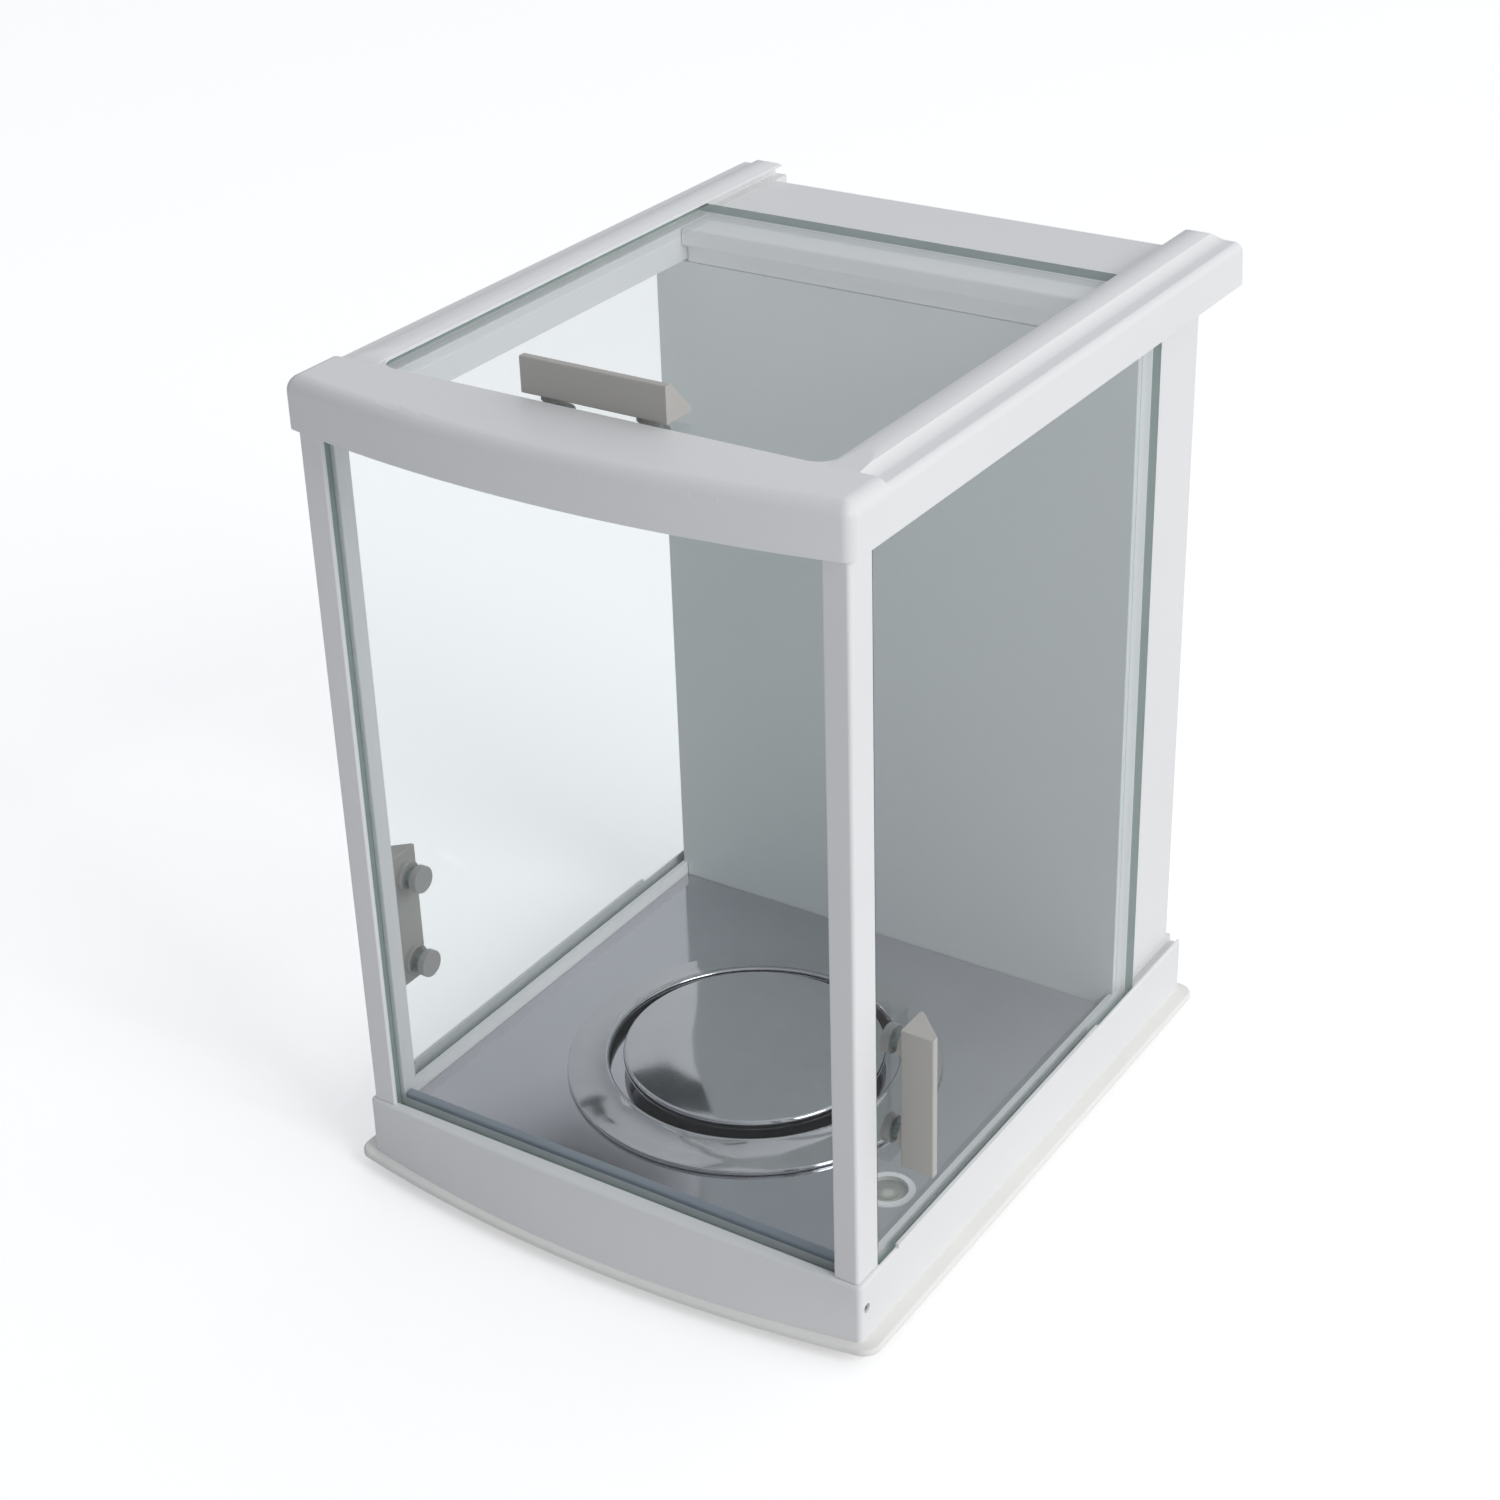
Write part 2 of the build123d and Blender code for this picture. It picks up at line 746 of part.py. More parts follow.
with BuildPart() as position_sensor:
    with BuildSketch(level(z_frame_foot)):
        with Locations((sensor_x + sensor_width / 2, lever_middle)):
            Rectangle(sensor_width, sensor_depth)
    extrude(amount=z_lever + lever_section + sensor_above - z_frame_foot)
    with BuildSketch(level(z_lever - sensor_above)):
        with Locations((sensor_x + (sensor_width - sensor_back) / 2, lever_middle)):
            Rectangle(sensor_width - sensor_back, sensor_slot)
    extrude(amount=lever_section + 2 * sensor_above, mode=Mode.SUBTRACT)
save(position_sensor.part, "position_sensor")

# ---------------------------------------------------------------- posts, front glass and its seal
post_corner = 1.2
front_glass_middle = -front_glass_face + front_glass_thickness / 2
front_groove = front_glass_thickness + 2 * slip


def make_front_post(side, name):
    """L-shaped corner post whose slot holds one upright edge of the front glass."""
    with BuildPart() as post:
        with BuildSketch(level(z_ledge)) as plan:
            with Locations((side * (post_outer - post_width / 2), -(post_front + post_rear) / 2)):
                Rectangle(post_width, post_depth)
            fillet(plan.vertices().group_by(Axis.Y)[0].sort_by(Axis.X)[0 if side < 0 else -1], post_corner)
            with Locations((side * (post_inner + (glass_bite + slip) / 2), front_glass_middle)):
                Rectangle(glass_bite + slip, front_groove, mode=Mode.SUBTRACT)
        extrude(amount=door_height)
    save(post.part, name)


make_front_post(-1, "left_front_post")
make_front_post(1, "right_front_post")

front_glass_top_bite = 6.0
glass_chamfer = 0.3

with BuildPart() as front_glass:
    with BuildSketch(across(-front_glass_face)):
        with Locations((0, (z_ledge - groove_depth + z_frame + front_glass_top_bite) / 2)):
            Rectangle(2 * (post_inner + glass_bite), door_height + groove_depth + front_glass_top_bite)
    extrude(amount=-front_glass_thickness)
    chamfer(front_glass.edges(), glass_chamfer)
save(front_glass.part, "front_glass")

seal_height = 1.8
seal_front = front_glass_back - slip
seal_rear = well_front + 0.8
seal_half = post_inner - 0.5
seal_round = 0.7

with BuildPart() as front_glass_seal:
    with BuildSketch(level(z_ledge)):
        with Locations((0, -(seal_front + seal_rear) / 2)):
            Rectangle(2 * seal_half, seal_front - seal_rear)
    extrude(amount=seal_height)
    fillet(front_glass_seal.edges().group_by(Axis.Z)[-1].filter_by(Axis.X), seal_round)
save(front_glass_seal.part, "front_glass_seal")

# ---------------------------------------------------------------- top frame
rail_inner = frame_half - rail_width
top_glass_half = rail_inner + top_glass_lap
top_groove_half = top_glass_half + moving_gap
z_top_groove = z_top_glass - moving_gap
top_groove_height = top_glass_thickness + 2 * moving_gap
bar_corner = 4.0
bar_edge_round = 5.0

with BuildPart() as front_bar:
    bar_outline = bowed_outline(z_frame, 2 * frame_half, frame_front, -bar_rear, bow, bar_corner)
    extrude(bar_outline, amount=bar_height)
    fillet(front_bar.faces().sort_by(Axis.Z)[-1].edges().sort_by(Axis.Y)[:-1], bar_edge_round)
    with BuildSketch(level(z_top_groove + top_groove_height)):
        corner = top_opening_corner
        for side in (-1, 1):
            with Locations((side * (rail_inner - corner / 2), -bar_rear + corner / 2)):
                Rectangle(corner, corner)
            with Locations((side * (rail_inner - corner), -bar_rear + corner)):
                Circle(corner, mode=Mode.SUBTRACT)
    extrude(amount=z_bar_top - z_top_groove - top_groove_height)
    with BuildSketch(level(z_top_groove)):
        with Locations((0, -(top_glass_front + moving_gap + bar_rear) / 2)):
            Rectangle(2 * top_groove_half, top_glass_front + moving_gap - bar_rear)
    extrude(amount=top_groove_height, mode=Mode.SUBTRACT)
    with BuildSketch(level(z_frame)):
        with Locations((0, front_glass_middle)):
            Rectangle(2 * (post_inner + glass_bite + slip), front_groove)
    extrude(amount=front_glass_top_bite + slip, mode=Mode.SUBTRACT)
    with BuildSketch(level(z_frame)):
        for side in (-1, 1):
            with Locations((side * (groove_inner + groove_outer) / 2, -(post_rear + bar_rear) / 2)):
                Rectangle(groove_outer - groove_inner, post_rear - bar_rear)
    extrude(amount=rail_groove_depth, mode=Mode.SUBTRACT)
save(front_bar.part, "front_bar")

rail_outer = frame_half
rail_end_radius = 8.0
rail_ramp = 16.0


def rail_point(inward, up):
    """A point of the right rail's section: distance in from its outer foot, height above its underside."""
    return (rail_outer - inward, z_frame + up)


def make_rail(side, name):
    """Side rail: a rounded ridge beside the top door that ramps up from the front bar, and two door grooves."""
    with BuildPart() as rail:
        with BuildSketch(across(-bar_rear)):
            with BuildLine():
                Line(rail_point(0, 0), rail_point(0.5, 11.2))
                ThreePointArc(rail_point(0.5, 11.2), rail_point(1.1, 13.3), rail_point(2.6, 14.4))
                Line(rail_point(2.6, 14.4), rail_point(5.8, 14.4))
                ThreePointArc(rail_point(5.8, 14.4), rail_point(8.1, 15.2), rail_point(9.9, 16.9))
                ThreePointArc(rail_point(9.9, 16.9), rail_point(13.5, rail_height), rail_point(17.3, 17.2))
                Line(rail_point(17.3, 17.2), (rail_inner, z_frame + 16.6))
                Line((rail_inner, z_frame + 16.6), (rail_inner, z_frame))
                Line((rail_inner, z_frame), rail_point(0, 0))
            make_face()
            with Locations(((rail_inner + top_groove_half) / 2, z_top_groove + top_groove_height / 2)):
                Rectangle(top_groove_half - rail_inner, top_groove_height, mode=Mode.SUBTRACT)
            with Locations(((groove_inner + groove_outer) / 2, z_frame + rail_groove_depth / 2)):
                Rectangle(groove_outer - groove_inner, rail_groove_depth, mode=Mode.SUBTRACT)
        extrude(amount=-(rail_rear + bar_rear))
        with BuildSketch(seen_from_side(rail_inner - slip)):
            with BuildLine():
                Polyline(
                    (chamber_y - bar_rear, z_bar_top),
                    (chamber_y - bar_rear + rail_ramp, z_frame + rail_height),
                    (chamber_y - bar_rear + rail_ramp, z_frame + rail_height + 1.0),
                    (chamber_y - bar_rear, z_frame + rail_height + 1.0),
                    close=True,
                )
            make_face()
        extrude(amount=rail_width + 2 * slip, mode=Mode.SUBTRACT)
        end_y = chamber_y + rail_rear
        end_z = z_frame + rail_height
        with BuildSketch(seen_from_side(rail_inner - slip)):
            with Locations((end_y - rail_end_radius / 2, end_z - rail_end_radius / 2)):
                Rectangle(rail_end_radius + slip, rail_end_radius + slip)
            with Locations((end_y - rail_end_radius, end_z - rail_end_radius)):
                Circle(rail_end_radius, mode=Mode.SUBTRACT)
        extrude(amount=rail_width + 2 * slip, mode=Mode.SUBTRACT)
        if side < 0:
            mirror(about=Plane.YZ, mode=Mode.REPLACE)
    save(rail.part, name)


make_rail(-1, "left_rail")
make_rail(1, "right_rail")

crossbar_rear = top_glass_rear - slip
crossbar_drop = 1.0
crossbar_step = 5.5
crossbar_round = 1.0

with BuildPart() as rear_crossbar:
    with BuildSketch(seen_from_side(-(rail_inner - slip))):
        with BuildLine():
            Polyline(
                (chamber_y + crossbar_front, z_crossbar_top),
                (chamber_y + crossbar_rear, z_crossbar_top),
                (chamber_y + crossbar_rear, z_frame - crossbar_drop),
                (chamber_y + wall_front, z_frame - crossbar_drop),
                (chamber_y + wall_front, z_frame + crossbar_step),
                (chamber_y + crossbar_front, z_frame + crossbar_step),
                close=True,
            )
        make_face()
    extrude(amount=2 * (rail_inner - slip))
    fillet(rear_crossbar.edges().filter_by(Axis.X).group_by(Axis.Y)[0], crossbar_round)
save(rear_crossbar.part, "rear_crossbar")

# ---------------------------------------------------------------- rear wall, posts and tower
wall_half = tower_x - slip
z_wall_top = z_frame - crossbar_drop - slip

with BuildPart() as rear_wall:
    with BuildSketch(across(wall_front)):
        with Locations((0, (z_ledge + z_wall_top) / 2)):
            Rectangle(2 * wall_half, z_wall_top - z_ledge)
        with Locations((0, (z_shelf + z_ledge) / 2)):
            Rectangle(2 * (well_half - slip), z_ledge - z_shelf)
    extrude(amount=-wall_thickness)
save(rear_wall.part, "rear_wall")

rear_post_size = 8.0
rear_post_wall = 1.5
rear_post_x = rear_opening_x - 0.5 - rear_post_size / 2
rear_post_y = rear_opening_front + 0.5 + rear_post_size / 2


def make_rear_post(side, name):
    """Square tube from the base plate to the rail; it carries the rear of the top frame."""
    with BuildPart() as post:
        with BuildSketch(level(z_plinth)):
            with Locations((side * rear_post_x, rear_post_y)):
                Rectangle(rear_post_size, rear_post_size)
                bore = rear_post_size - 2 * rear_post_wall
                Rectangle(bore, bore, mode=Mode.SUBTRACT)
        extrude(amount=z_frame - z_plinth)
    save(post.part, name)


make_rear_post(-1, "left_rear_post")
make_rear_post(1, "right_rear_post")

z_tower_cap = z_crossbar_top
tower_edge = 2.5
cap_edge_round = 1.5
panel_thickness = 2.0
panel_gap = 0.3

with BuildPart() as rear_housing:
    with BuildSketch(level(z_ledge)):
        with Locations((0, (tower_front + tower_rear) / 2)):
            Rectangle(2 * tower_x, tower_rear - tower_front)
    extrude(amount=door_height)
    fillet(rear_housing.edges().filter_by(Axis.Z).group_by(Axis.Y)[-1], tower_edge)
    with BuildSketch(level(z_frame)):
        with Locations((0, (top_glass_rear + cap_rear) / 2)):
            Rectangle(2 * (rail_inner - slip), cap_rear - top_glass_rear)
    extrude(amount=z_tower_cap - z_frame)
    fillet(rear_housing.faces().sort_by(Axis.Z)[-1].edges().sort_by(Axis.Y)[-1], cap_edge_round)
    with BuildSketch(level(z_ledge)):
        with Locations((0, (tower_front + tower_rear) / 2)):
            Rectangle(2 * (tower_x - shell), tower_rear - tower_front)
    extrude(amount=door_height - shell, mode=Mode.SUBTRACT)
    with BuildSketch(level(z_frame - shell)):
        with Locations((0, (top_glass_rear + tower_rear) / 2)):
            Rectangle(2 * (rail_inner - slip - shell), tower_rear - top_glass_rear - 2 * shell)
    extrude(amount=z_tower_cap - z_frame, mode=Mode.SUBTRACT)
    with BuildSketch(level(z_frame - shell)):
        with Locations((0, (tower_front + top_glass_rear) / 2)):
            Rectangle(2 * (rail_inner - slip), top_glass_rear - tower_front)
    extrude(amount=shell, mode=Mode.SUBTRACT)
    for side in (-1, 1):
        with BuildSketch(level(z_frame - shell)):
            with Locations((side * rear_post_x, rear_post_y)):
                Rectangle(rear_post_size + slip, rear_post_size + slip)
        extrude(amount=shell, mode=Mode.SUBTRACT)
save(rear_housing.part, "rear_housing")

panel_half = tower_x - shell - panel_gap
z_panel = z_ledge + panel_gap
z_panel_top = z_frame - shell - panel_gap
panel_front = tower_rear - panel_thickness
socket_z = z_plinth + board_lift + socket_lift
vent_width = 3.0
vent_length = 26.0
vent_spacing = 8.0
vent_count = 13
vent_drop = 40.0
panel_screw_radius = 1.5
panel_screw_head = 3.0
panel_screw_head_height = 1.4
panel_screw_inset = 6.0
panel_screw_hole = 8.0
panel_screw_grip = 6.0
panel_middle_z = (z_panel + z_panel_top) / 2
panel_screw_spread = z_panel_top - z_panel - 2 * panel_screw_inset
corner_block = 12.0

with BuildPart() as back_panel:
    with BuildSketch(across(panel_front)):
        with Locations((0, panel_middle_z)):
            Rectangle(2 * panel_half, z_panel_top - z_panel)
            with GridLocations(2 * (panel_half - panel_screw_inset), panel_screw_spread / 2, 2, 3):
                Circle(panel_screw_radius + slip, mode=Mode.SUBTRACT)
        with Locations((0, z_panel_top - vent_drop)):
            with GridLocations(vent_spacing, 0.0, vent_count, 1):
                SlotOverall(vent_length, vent_width, rotation=90, mode=Mode.SUBTRACT)
        with Locations((dc_x, socket_z)):
            Circle(dc_radius + slip, mode=Mode.SUBTRACT)
        with Locations((data_x, socket_z)):
            Rectangle(data_width + 2 * slip, data_height + 2 * slip, mode=Mode.SUBTRACT)
    extrude(amount=-panel_thickness)
save(back_panel.part, "back_panel")

with BuildPart() as panel_blocks:
    for side in (-1, 1):
        with BuildSketch(across(panel_front - corner_block)):
            with Locations((side * (tower_x - shell - corner_block / 2), panel_middle_z)):
                with GridLocations(0.0, panel_screw_spread / 2, 1, 3):
                    Rectangle(corner_block, corner_block)
        extrude(amount=-corner_block)
    with BuildSketch(across(panel_front)):
        with Locations((0, panel_middle_z)):
            with GridLocations(2 * (panel_half - panel_screw_inset), panel_screw_spread / 2, 2, 3):
                Circle(panel_screw_radius)
    extrude(amount=panel_screw_hole, mode=Mode.SUBTRACT)
save(panel_blocks.part, "panel_blocks")

with BuildPart() as panel_screws:
    with BuildSketch(across(tower_rear)):
        with Locations((0, panel_middle_z)):
            with GridLocations(2 * (panel_half - panel_screw_inset), panel_screw_spread / 2, 2, 3):
                Circle(panel_screw_radius)
    extrude(amount=panel_thickness + panel_screw_grip)
    with BuildSketch(across(tower_rear)):
        with Locations((0, panel_middle_z)):
            with GridLocations(2 * (panel_half - panel_screw_inset), panel_screw_spread / 2, 2, 3):
                Circle(panel_screw_head)
    extrude(amount=-panel_screw_head_height)
save(panel_screws.part, "panel_screws")

# ---------------------------------------------------------------- electronics
board_rear = panel_front - board_stand_off
board_front = board_rear - board_thickness
z_board = z_plinth + board_lift
board_middle_z = z_board + board_height / 2
hole_inset = 5.0
standoff_radius = 3.0
chip_height = 2.2
chips = [((-30.0, 20.0), (22.0, 22.0)), ((25.0, 24.0), (14.0, 10.0)), ((-32.0, -20.0), (16.0, 12.0))]
capacitor_x = 30.0
capacitor_spacing = 16.0
capacitor_radius = 5.0
capacitor_height = 11.0

with BuildPart() as main_board:
    with BuildSketch(across(board_front)):
        with Locations((0, board_middle_z)):
            Rectangle(board_width, board_height)
    extrude(amount=-board_thickness)
save(main_board.part, "main_board")

with BuildPart() as board_standoffs:
    with BuildSketch(across(board_rear)):
        with Locations((0, board_middle_z)):
            with GridLocations(board_width - 2 * hole_inset, board_height - 2 * hole_inset, 2, 2):
                Circle(standoff_radius)
    extrude(amount=-board_stand_off)
save(board_standoffs.part, "board_standoffs")

with BuildPart() as board_parts:
    with BuildSketch(across(board_front)):
        for (chip_x, chip_z), (chip_width, chip_length) in chips:
            with Locations((chip_x, board_middle_z + chip_z)):
                Rectangle(chip_width, chip_length)
    extrude(amount=chip_height)
    with BuildSketch(across(board_front)):
        with Locations((capacitor_x, board_middle_z)):
            with GridLocations(capacitor_spacing, 0.0, 2, 1):
                Circle(capacitor_radius)
    extrude(amount=capacitor_height)
save(board_parts.part, "board_parts")

with BuildPart() as dc_socket:
    with BuildSketch(across(board_rear)):
        with Locations((dc_x, socket_z)):
            Circle(dc_radius)
            Circle(dc_bore, mode=Mode.SUBTRACT)
    extrude(amount=-(board_stand_off + panel_thickness))
    with BuildSketch(across(board_rear)):
        with Locations((dc_x, socket_z)):
            Circle(dc_radius)
    extrude(amount=-dc_bottom)
    with BuildSketch(across(board_rear)):
        with Locations((dc_x, socket_z)):
            Circle(dc_pin)
    extrude(amount=-(board_stand_off + panel_thickness - dc_pin))
save(dc_socket.part, "dc_socket")

with BuildPart() as data_socket:
    with BuildSketch(across(board_rear)):
        with Locations((data_x, socket_z)):
            Rectangle(data_width, data_height)
    extrude(amount=-(board_stand_off + panel_thickness))
    with BuildSketch(across(tower_rear)):
        with Locations((data_x, socket_z)):
            Rectangle(data_width - 2 * data_side_wall, data_height - 2 * data_end_wall)
    extrude(amount=data_mouth_depth, mode=Mode.SUBTRACT)
save(data_socket.part, "data_socket")

# ---------------------------------------------------------------- doors: glass, handle and its nuts
stud_offset = handle_depth / 2
handle_back_step = 1.2
handle_round = 0.5
nut_closed_end = 0.3


def make_handle(base, outward, glass, name):
    """Grip with an upright front face and a slanted back, on two round feet with studs."""
    section = Plane(origin=base, x_dir=(0, 1, 0), z_dir=Vector(0, 1, 0).cross(Vector(*outward)))
    seat = Plane(origin=base, x_dir=(0, 1, 0), z_dir=outward)
    with BuildPart() as handle:
        with BuildSketch(section) as profile:
            with BuildLine():
                Polyline(
                    (0, handle_foot_height),
                    (handle_depth, handle_foot_height),
                    (handle_depth, handle_foot_height + handle_back_step),
                    (handle_flat, handle_foot_height + handle_height),
                    (0, handle_foot_height + handle_height),
                    close=True,
                )
            make_face()
            fillet(profile.vertices(), handle_round)
        extrude(amount=handle_length / 2, both=True)
        with BuildSketch(seat):
            with Locations((stud_offset, -handle_foot_spacing / 2), (stud_offset, handle_foot_spacing / 2)):
                Circle(handle_foot_radius)
        extrude(amount=handle_foot_height)
        with BuildSketch(seat):
            with Locations((stud_offset, -handle_foot_spacing / 2), (stud_offset, handle_foot_spacing / 2)):
                Circle(handle_stud_radius)
        extrude(amount=-(glass + handle_nut_height - stud_short))
    save(handle.part, name)


def make_nuts(base, outward, glass, name):
    """Round flat nuts on the chamber side of a door's glass."""
    inner = Plane(origin=base, x_dir=(0, 1, 0), z_dir=outward).offset(-glass)
    with BuildPart() as nuts:
        with BuildSketch(inner):
            with Locations((stud_offset, -handle_foot_spacing / 2), (stud_offset, handle_foot_spacing / 2)):
                Circle(handle_nut_radius)
        extrude(amount=-handle_nut_height)
        with BuildSketch(inner):
            with Locations((stud_offset, -handle_foot_spacing / 2), (stud_offset, handle_foot_spacing / 2)):
                Circle(handle_stud_radius + running)
        extrude(amount=-(handle_nut_height - nut_closed_end), mode=Mode.SUBTRACT)
    save(nuts.part, name)


z_side_glass = z_ledge - groove_depth + moving_gap
z_side_glass_top = z_frame + rail_groove_depth - moving_gap
side_glass_front = post_rear - moving_gap
z_side_handle = z_ledge + side_handle_middle


def make_side_door(side, name):
    """One side door: glass in the plinth's and the rail's grooves, its handle and nuts."""
    outward = (side, 0, 0)
    base = (side * glass_x, chamber_y - side_handle_front, z_side_handle)
    hole_y = chamber_y - side_handle_front + stud_offset
    with BuildPart() as glass:
        with BuildSketch(Plane.YZ.offset(side * glass_x)):
            middle_y = chamber_y + (side_glass_rear - side_glass_front) / 2
            with Locations((middle_y, (z_side_glass + z_side_glass_top) / 2)):
                Rectangle(side_glass_rear + side_glass_front, z_side_glass_top - z_side_glass)
            with Locations((hole_y, z_side_handle)):
                with GridLocations(0.0, handle_foot_spacing, 1, 2):
                    Circle(handle_stud_radius + slip, mode=Mode.SUBTRACT)
        extrude(amount=-side * side_glass_thickness)
    save(glass.part, f"{name}_door_glass")
    make_handle(base, outward, side_glass_thickness, f"{name}_door_handle")
    make_nuts(base, outward, side_glass_thickness, f"{name}_door_nuts")


make_side_door(-1, "left")
make_side_door(1, "right")

with BuildPart() as top_door_glass:
    with BuildSketch(level(z_top_glass)):
        with Locations((0, (top_glass_rear - top_glass_front) / 2)):
            Rectangle(2 * top_glass_half, top_glass_rear + top_glass_front)
        with Locations((0, -top_handle_front + stud_offset)):
            with GridLocations(handle_foot_spacing, 0.0, 2, 1):
                Circle(handle_stud_radius + slip, mode=Mode.SUBTRACT)
    extrude(amount=top_glass_thickness)
save(top_door_glass.part, "top_door_glass")

top_handle_base = (0, chamber_y - top_handle_front, z_top_glass + top_glass_thickness)
make_handle(top_handle_base, (0, 0, 1), top_glass_thickness, "top_door_handle")
make_nuts(top_handle_base, (0, 0, 1), top_glass_thickness, "top_door_nuts")
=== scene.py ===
"""Analytical balance: a glass draft shield on a low plinth, and a rear tower with the weighing cell."""

import math

import bmesh
import bpy
from mathutils import Matrix, Vector


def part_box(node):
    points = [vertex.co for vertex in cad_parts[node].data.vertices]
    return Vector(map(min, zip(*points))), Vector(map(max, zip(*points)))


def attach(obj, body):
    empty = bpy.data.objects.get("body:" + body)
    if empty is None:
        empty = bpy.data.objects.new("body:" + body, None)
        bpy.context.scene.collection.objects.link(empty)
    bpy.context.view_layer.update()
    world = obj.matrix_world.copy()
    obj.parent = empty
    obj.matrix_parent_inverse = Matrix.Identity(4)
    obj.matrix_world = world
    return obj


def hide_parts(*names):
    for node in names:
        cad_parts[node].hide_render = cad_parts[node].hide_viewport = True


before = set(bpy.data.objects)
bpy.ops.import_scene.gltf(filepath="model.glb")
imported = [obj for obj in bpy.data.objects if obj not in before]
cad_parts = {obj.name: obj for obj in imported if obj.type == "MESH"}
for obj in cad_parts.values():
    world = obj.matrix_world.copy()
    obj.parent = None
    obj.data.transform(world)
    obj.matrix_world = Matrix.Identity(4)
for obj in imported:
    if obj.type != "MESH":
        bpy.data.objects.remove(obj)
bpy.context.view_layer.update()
scene = bpy.context.scene
MM = 0.001

# ------------------------------------------------------------------ camera
# A person in front of the bench, a little to the right, looks down into the chamber. The camera is
# placed by its bearing round the middle of the chamber, its height and its distance.
pan_low, pan_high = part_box("weighing_pan")
plinth_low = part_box("plinth")[0]
chamber_middle = Vector(((pan_low.x + pan_high.x) / 2, (pan_low.y + pan_high.y) / 2, plinth_low.z))
bearing = math.radians(33.76)
height_angle = math.radians(28.85)
tilt = math.radians(-1.88)
distance = 952.56 * MM
aim_right = -2.23 * MM
aim_up = 120.72 * MM
lens = 65.95

back = Vector(
    (
        math.sin(bearing) * math.cos(height_angle),
        -math.cos(bearing) * math.cos(height_angle),
        math.sin(height_angle),
    )
)
level_right = Vector((0, 0, 1)).cross(back).normalized()
level_up = back.cross(level_right)
camera_right = level_right * math.cos(tilt) + level_up * math.sin(tilt)
camera_up = level_up * math.cos(tilt) - level_right * math.sin(tilt)
camera_place = chamber_middle + camera_right * aim_right + camera_up * aim_up + back * distance
camera_data = bpy.data.cameras.new("bench_camera")
camera_data.sensor_width = 36.0
camera_data.lens = lens
camera_data.clip_start = 10 * MM
camera = bpy.data.objects.new("bench_camera", camera_data)
camera_turn = Matrix((camera_right, camera_up, back)).transposed().to_4x4()
camera.matrix_world = Matrix.Translation(camera_place) @ camera_turn
scene.collection.objects.link(camera)
scene.camera = camera

# ------------------------------------------------------------------ floor and light
# A plain pale sheet of card in a room that is brightest behind and to the right, with one large soft box
# hanging on the right. The card glows to a direct look only, so it looks white and lights nothing. A
# dark doorway behind on the left shows as a dark patch in the pan, the draft ring and the steel floor.


def linear(hex_colour):
    """An sRGB hex colour as the four linear numbers that the shaders take."""
    shades = [int(hex_colour[i : i + 2], 16) / 255 for i in (1, 3, 5)]
    return [s / 12.92 if s <= 0.04045 else ((s + 0.055) / 1.055) ** 2.4 for s in shades] + [1.0]


def add_node(tree, kind, settings=None, **links):
    """Adds one node, sets its values and joins its inputs to other nodes' outputs."""
    made = tree.nodes.new(kind)
    for key, value in (settings or {}).items():
        if isinstance(key, str) and hasattr(made, key) and key not in made.inputs:
            setattr(made, key, value)
        else:
            made.inputs[key].default_value = value
    for key, source in links.items():
        tree.links.new(made.inputs[key.replace("_", " ")], source)
    return made


def new_material(name, **values):
    """A material whose Principled BSDF has these values; returns it, its tree and that node."""
    material = bpy.data.materials.new(name)
    material.use_nodes = True
    shader = material.node_tree.nodes["Principled BSDF"]
    for key, value in values.items():
        shader.inputs[key.replace("_", " ")].default_value = value
    return material, material.node_tree, shader


floor_half = 60.0
floor_mesh = bpy.data.meshes.new("card_floor")
floor_corners = [(x * floor_half, y * floor_half, 0) for x, y in ((-1, -1), (1, -1), (1, 1), (-1, 1))]
floor_mesh.from_pydata(floor_corners, [], [(0, 1, 2, 3)])
card_floor = bpy.data.objects.new("card_floor", floor_mesh)
scene.collection.objects.link(card_floor)
card_glow = 0.42
card, card_tree, card_shader = new_material(
    "matte_card", Base_Color=linear("#F4F4F4"), Roughness=0.9, Emission_Color=linear("#FFFFFF")
)
seen_directly = add_node(card_tree, "ShaderNodeLightPath").outputs["Is Camera Ray"]
glow = add_node(card_tree, "ShaderNodeMath", {"operation": "MULTIPLY", 1: card_glow})
card_tree.links.new(glow.inputs[0], seen_directly)
card_tree.links.new(card_shader.inputs["Emission Strength"], glow.outputs[0])
floor_mesh.materials.append(card)

world = bpy.data.worlds.new("white_room")
world.use_nodes = True
sky_tree = world.node_tree
toward_bright = (0.66, 0.74, -0.10)
gaze = add_node(sky_tree, "ShaderNodeTexCoord").outputs["Generated"]
facing_bright = add_node(sky_tree, "ShaderNodeVectorMath", {"operation": "DOT_PRODUCT", 1: toward_bright})
sky_tree.links.new(facing_bright.inputs[0], gaze)
whole_range = {"From Min": -1.0, "From Max": 1.0}
bright_share = add_node(sky_tree, "ShaderNodeMapRange", whole_range, Value=facing_bright.outputs["Value"])
room_shades = {"data_type": "RGBA", 6: linear("#5C606A"), 7: linear("#F4F5F7")}
room = add_node(sky_tree, "ShaderNodeMix", room_shades, Factor=bright_share.outputs["Result"])


def toward(turn, rise):
    """The direction turn degrees to the left of straight back and rise degrees above level."""
    turn, rise = math.radians(turn), math.radians(rise)
    return Vector((-math.sin(turn) * math.cos(rise), math.cos(turn) * math.cos(rise), math.sin(rise)))


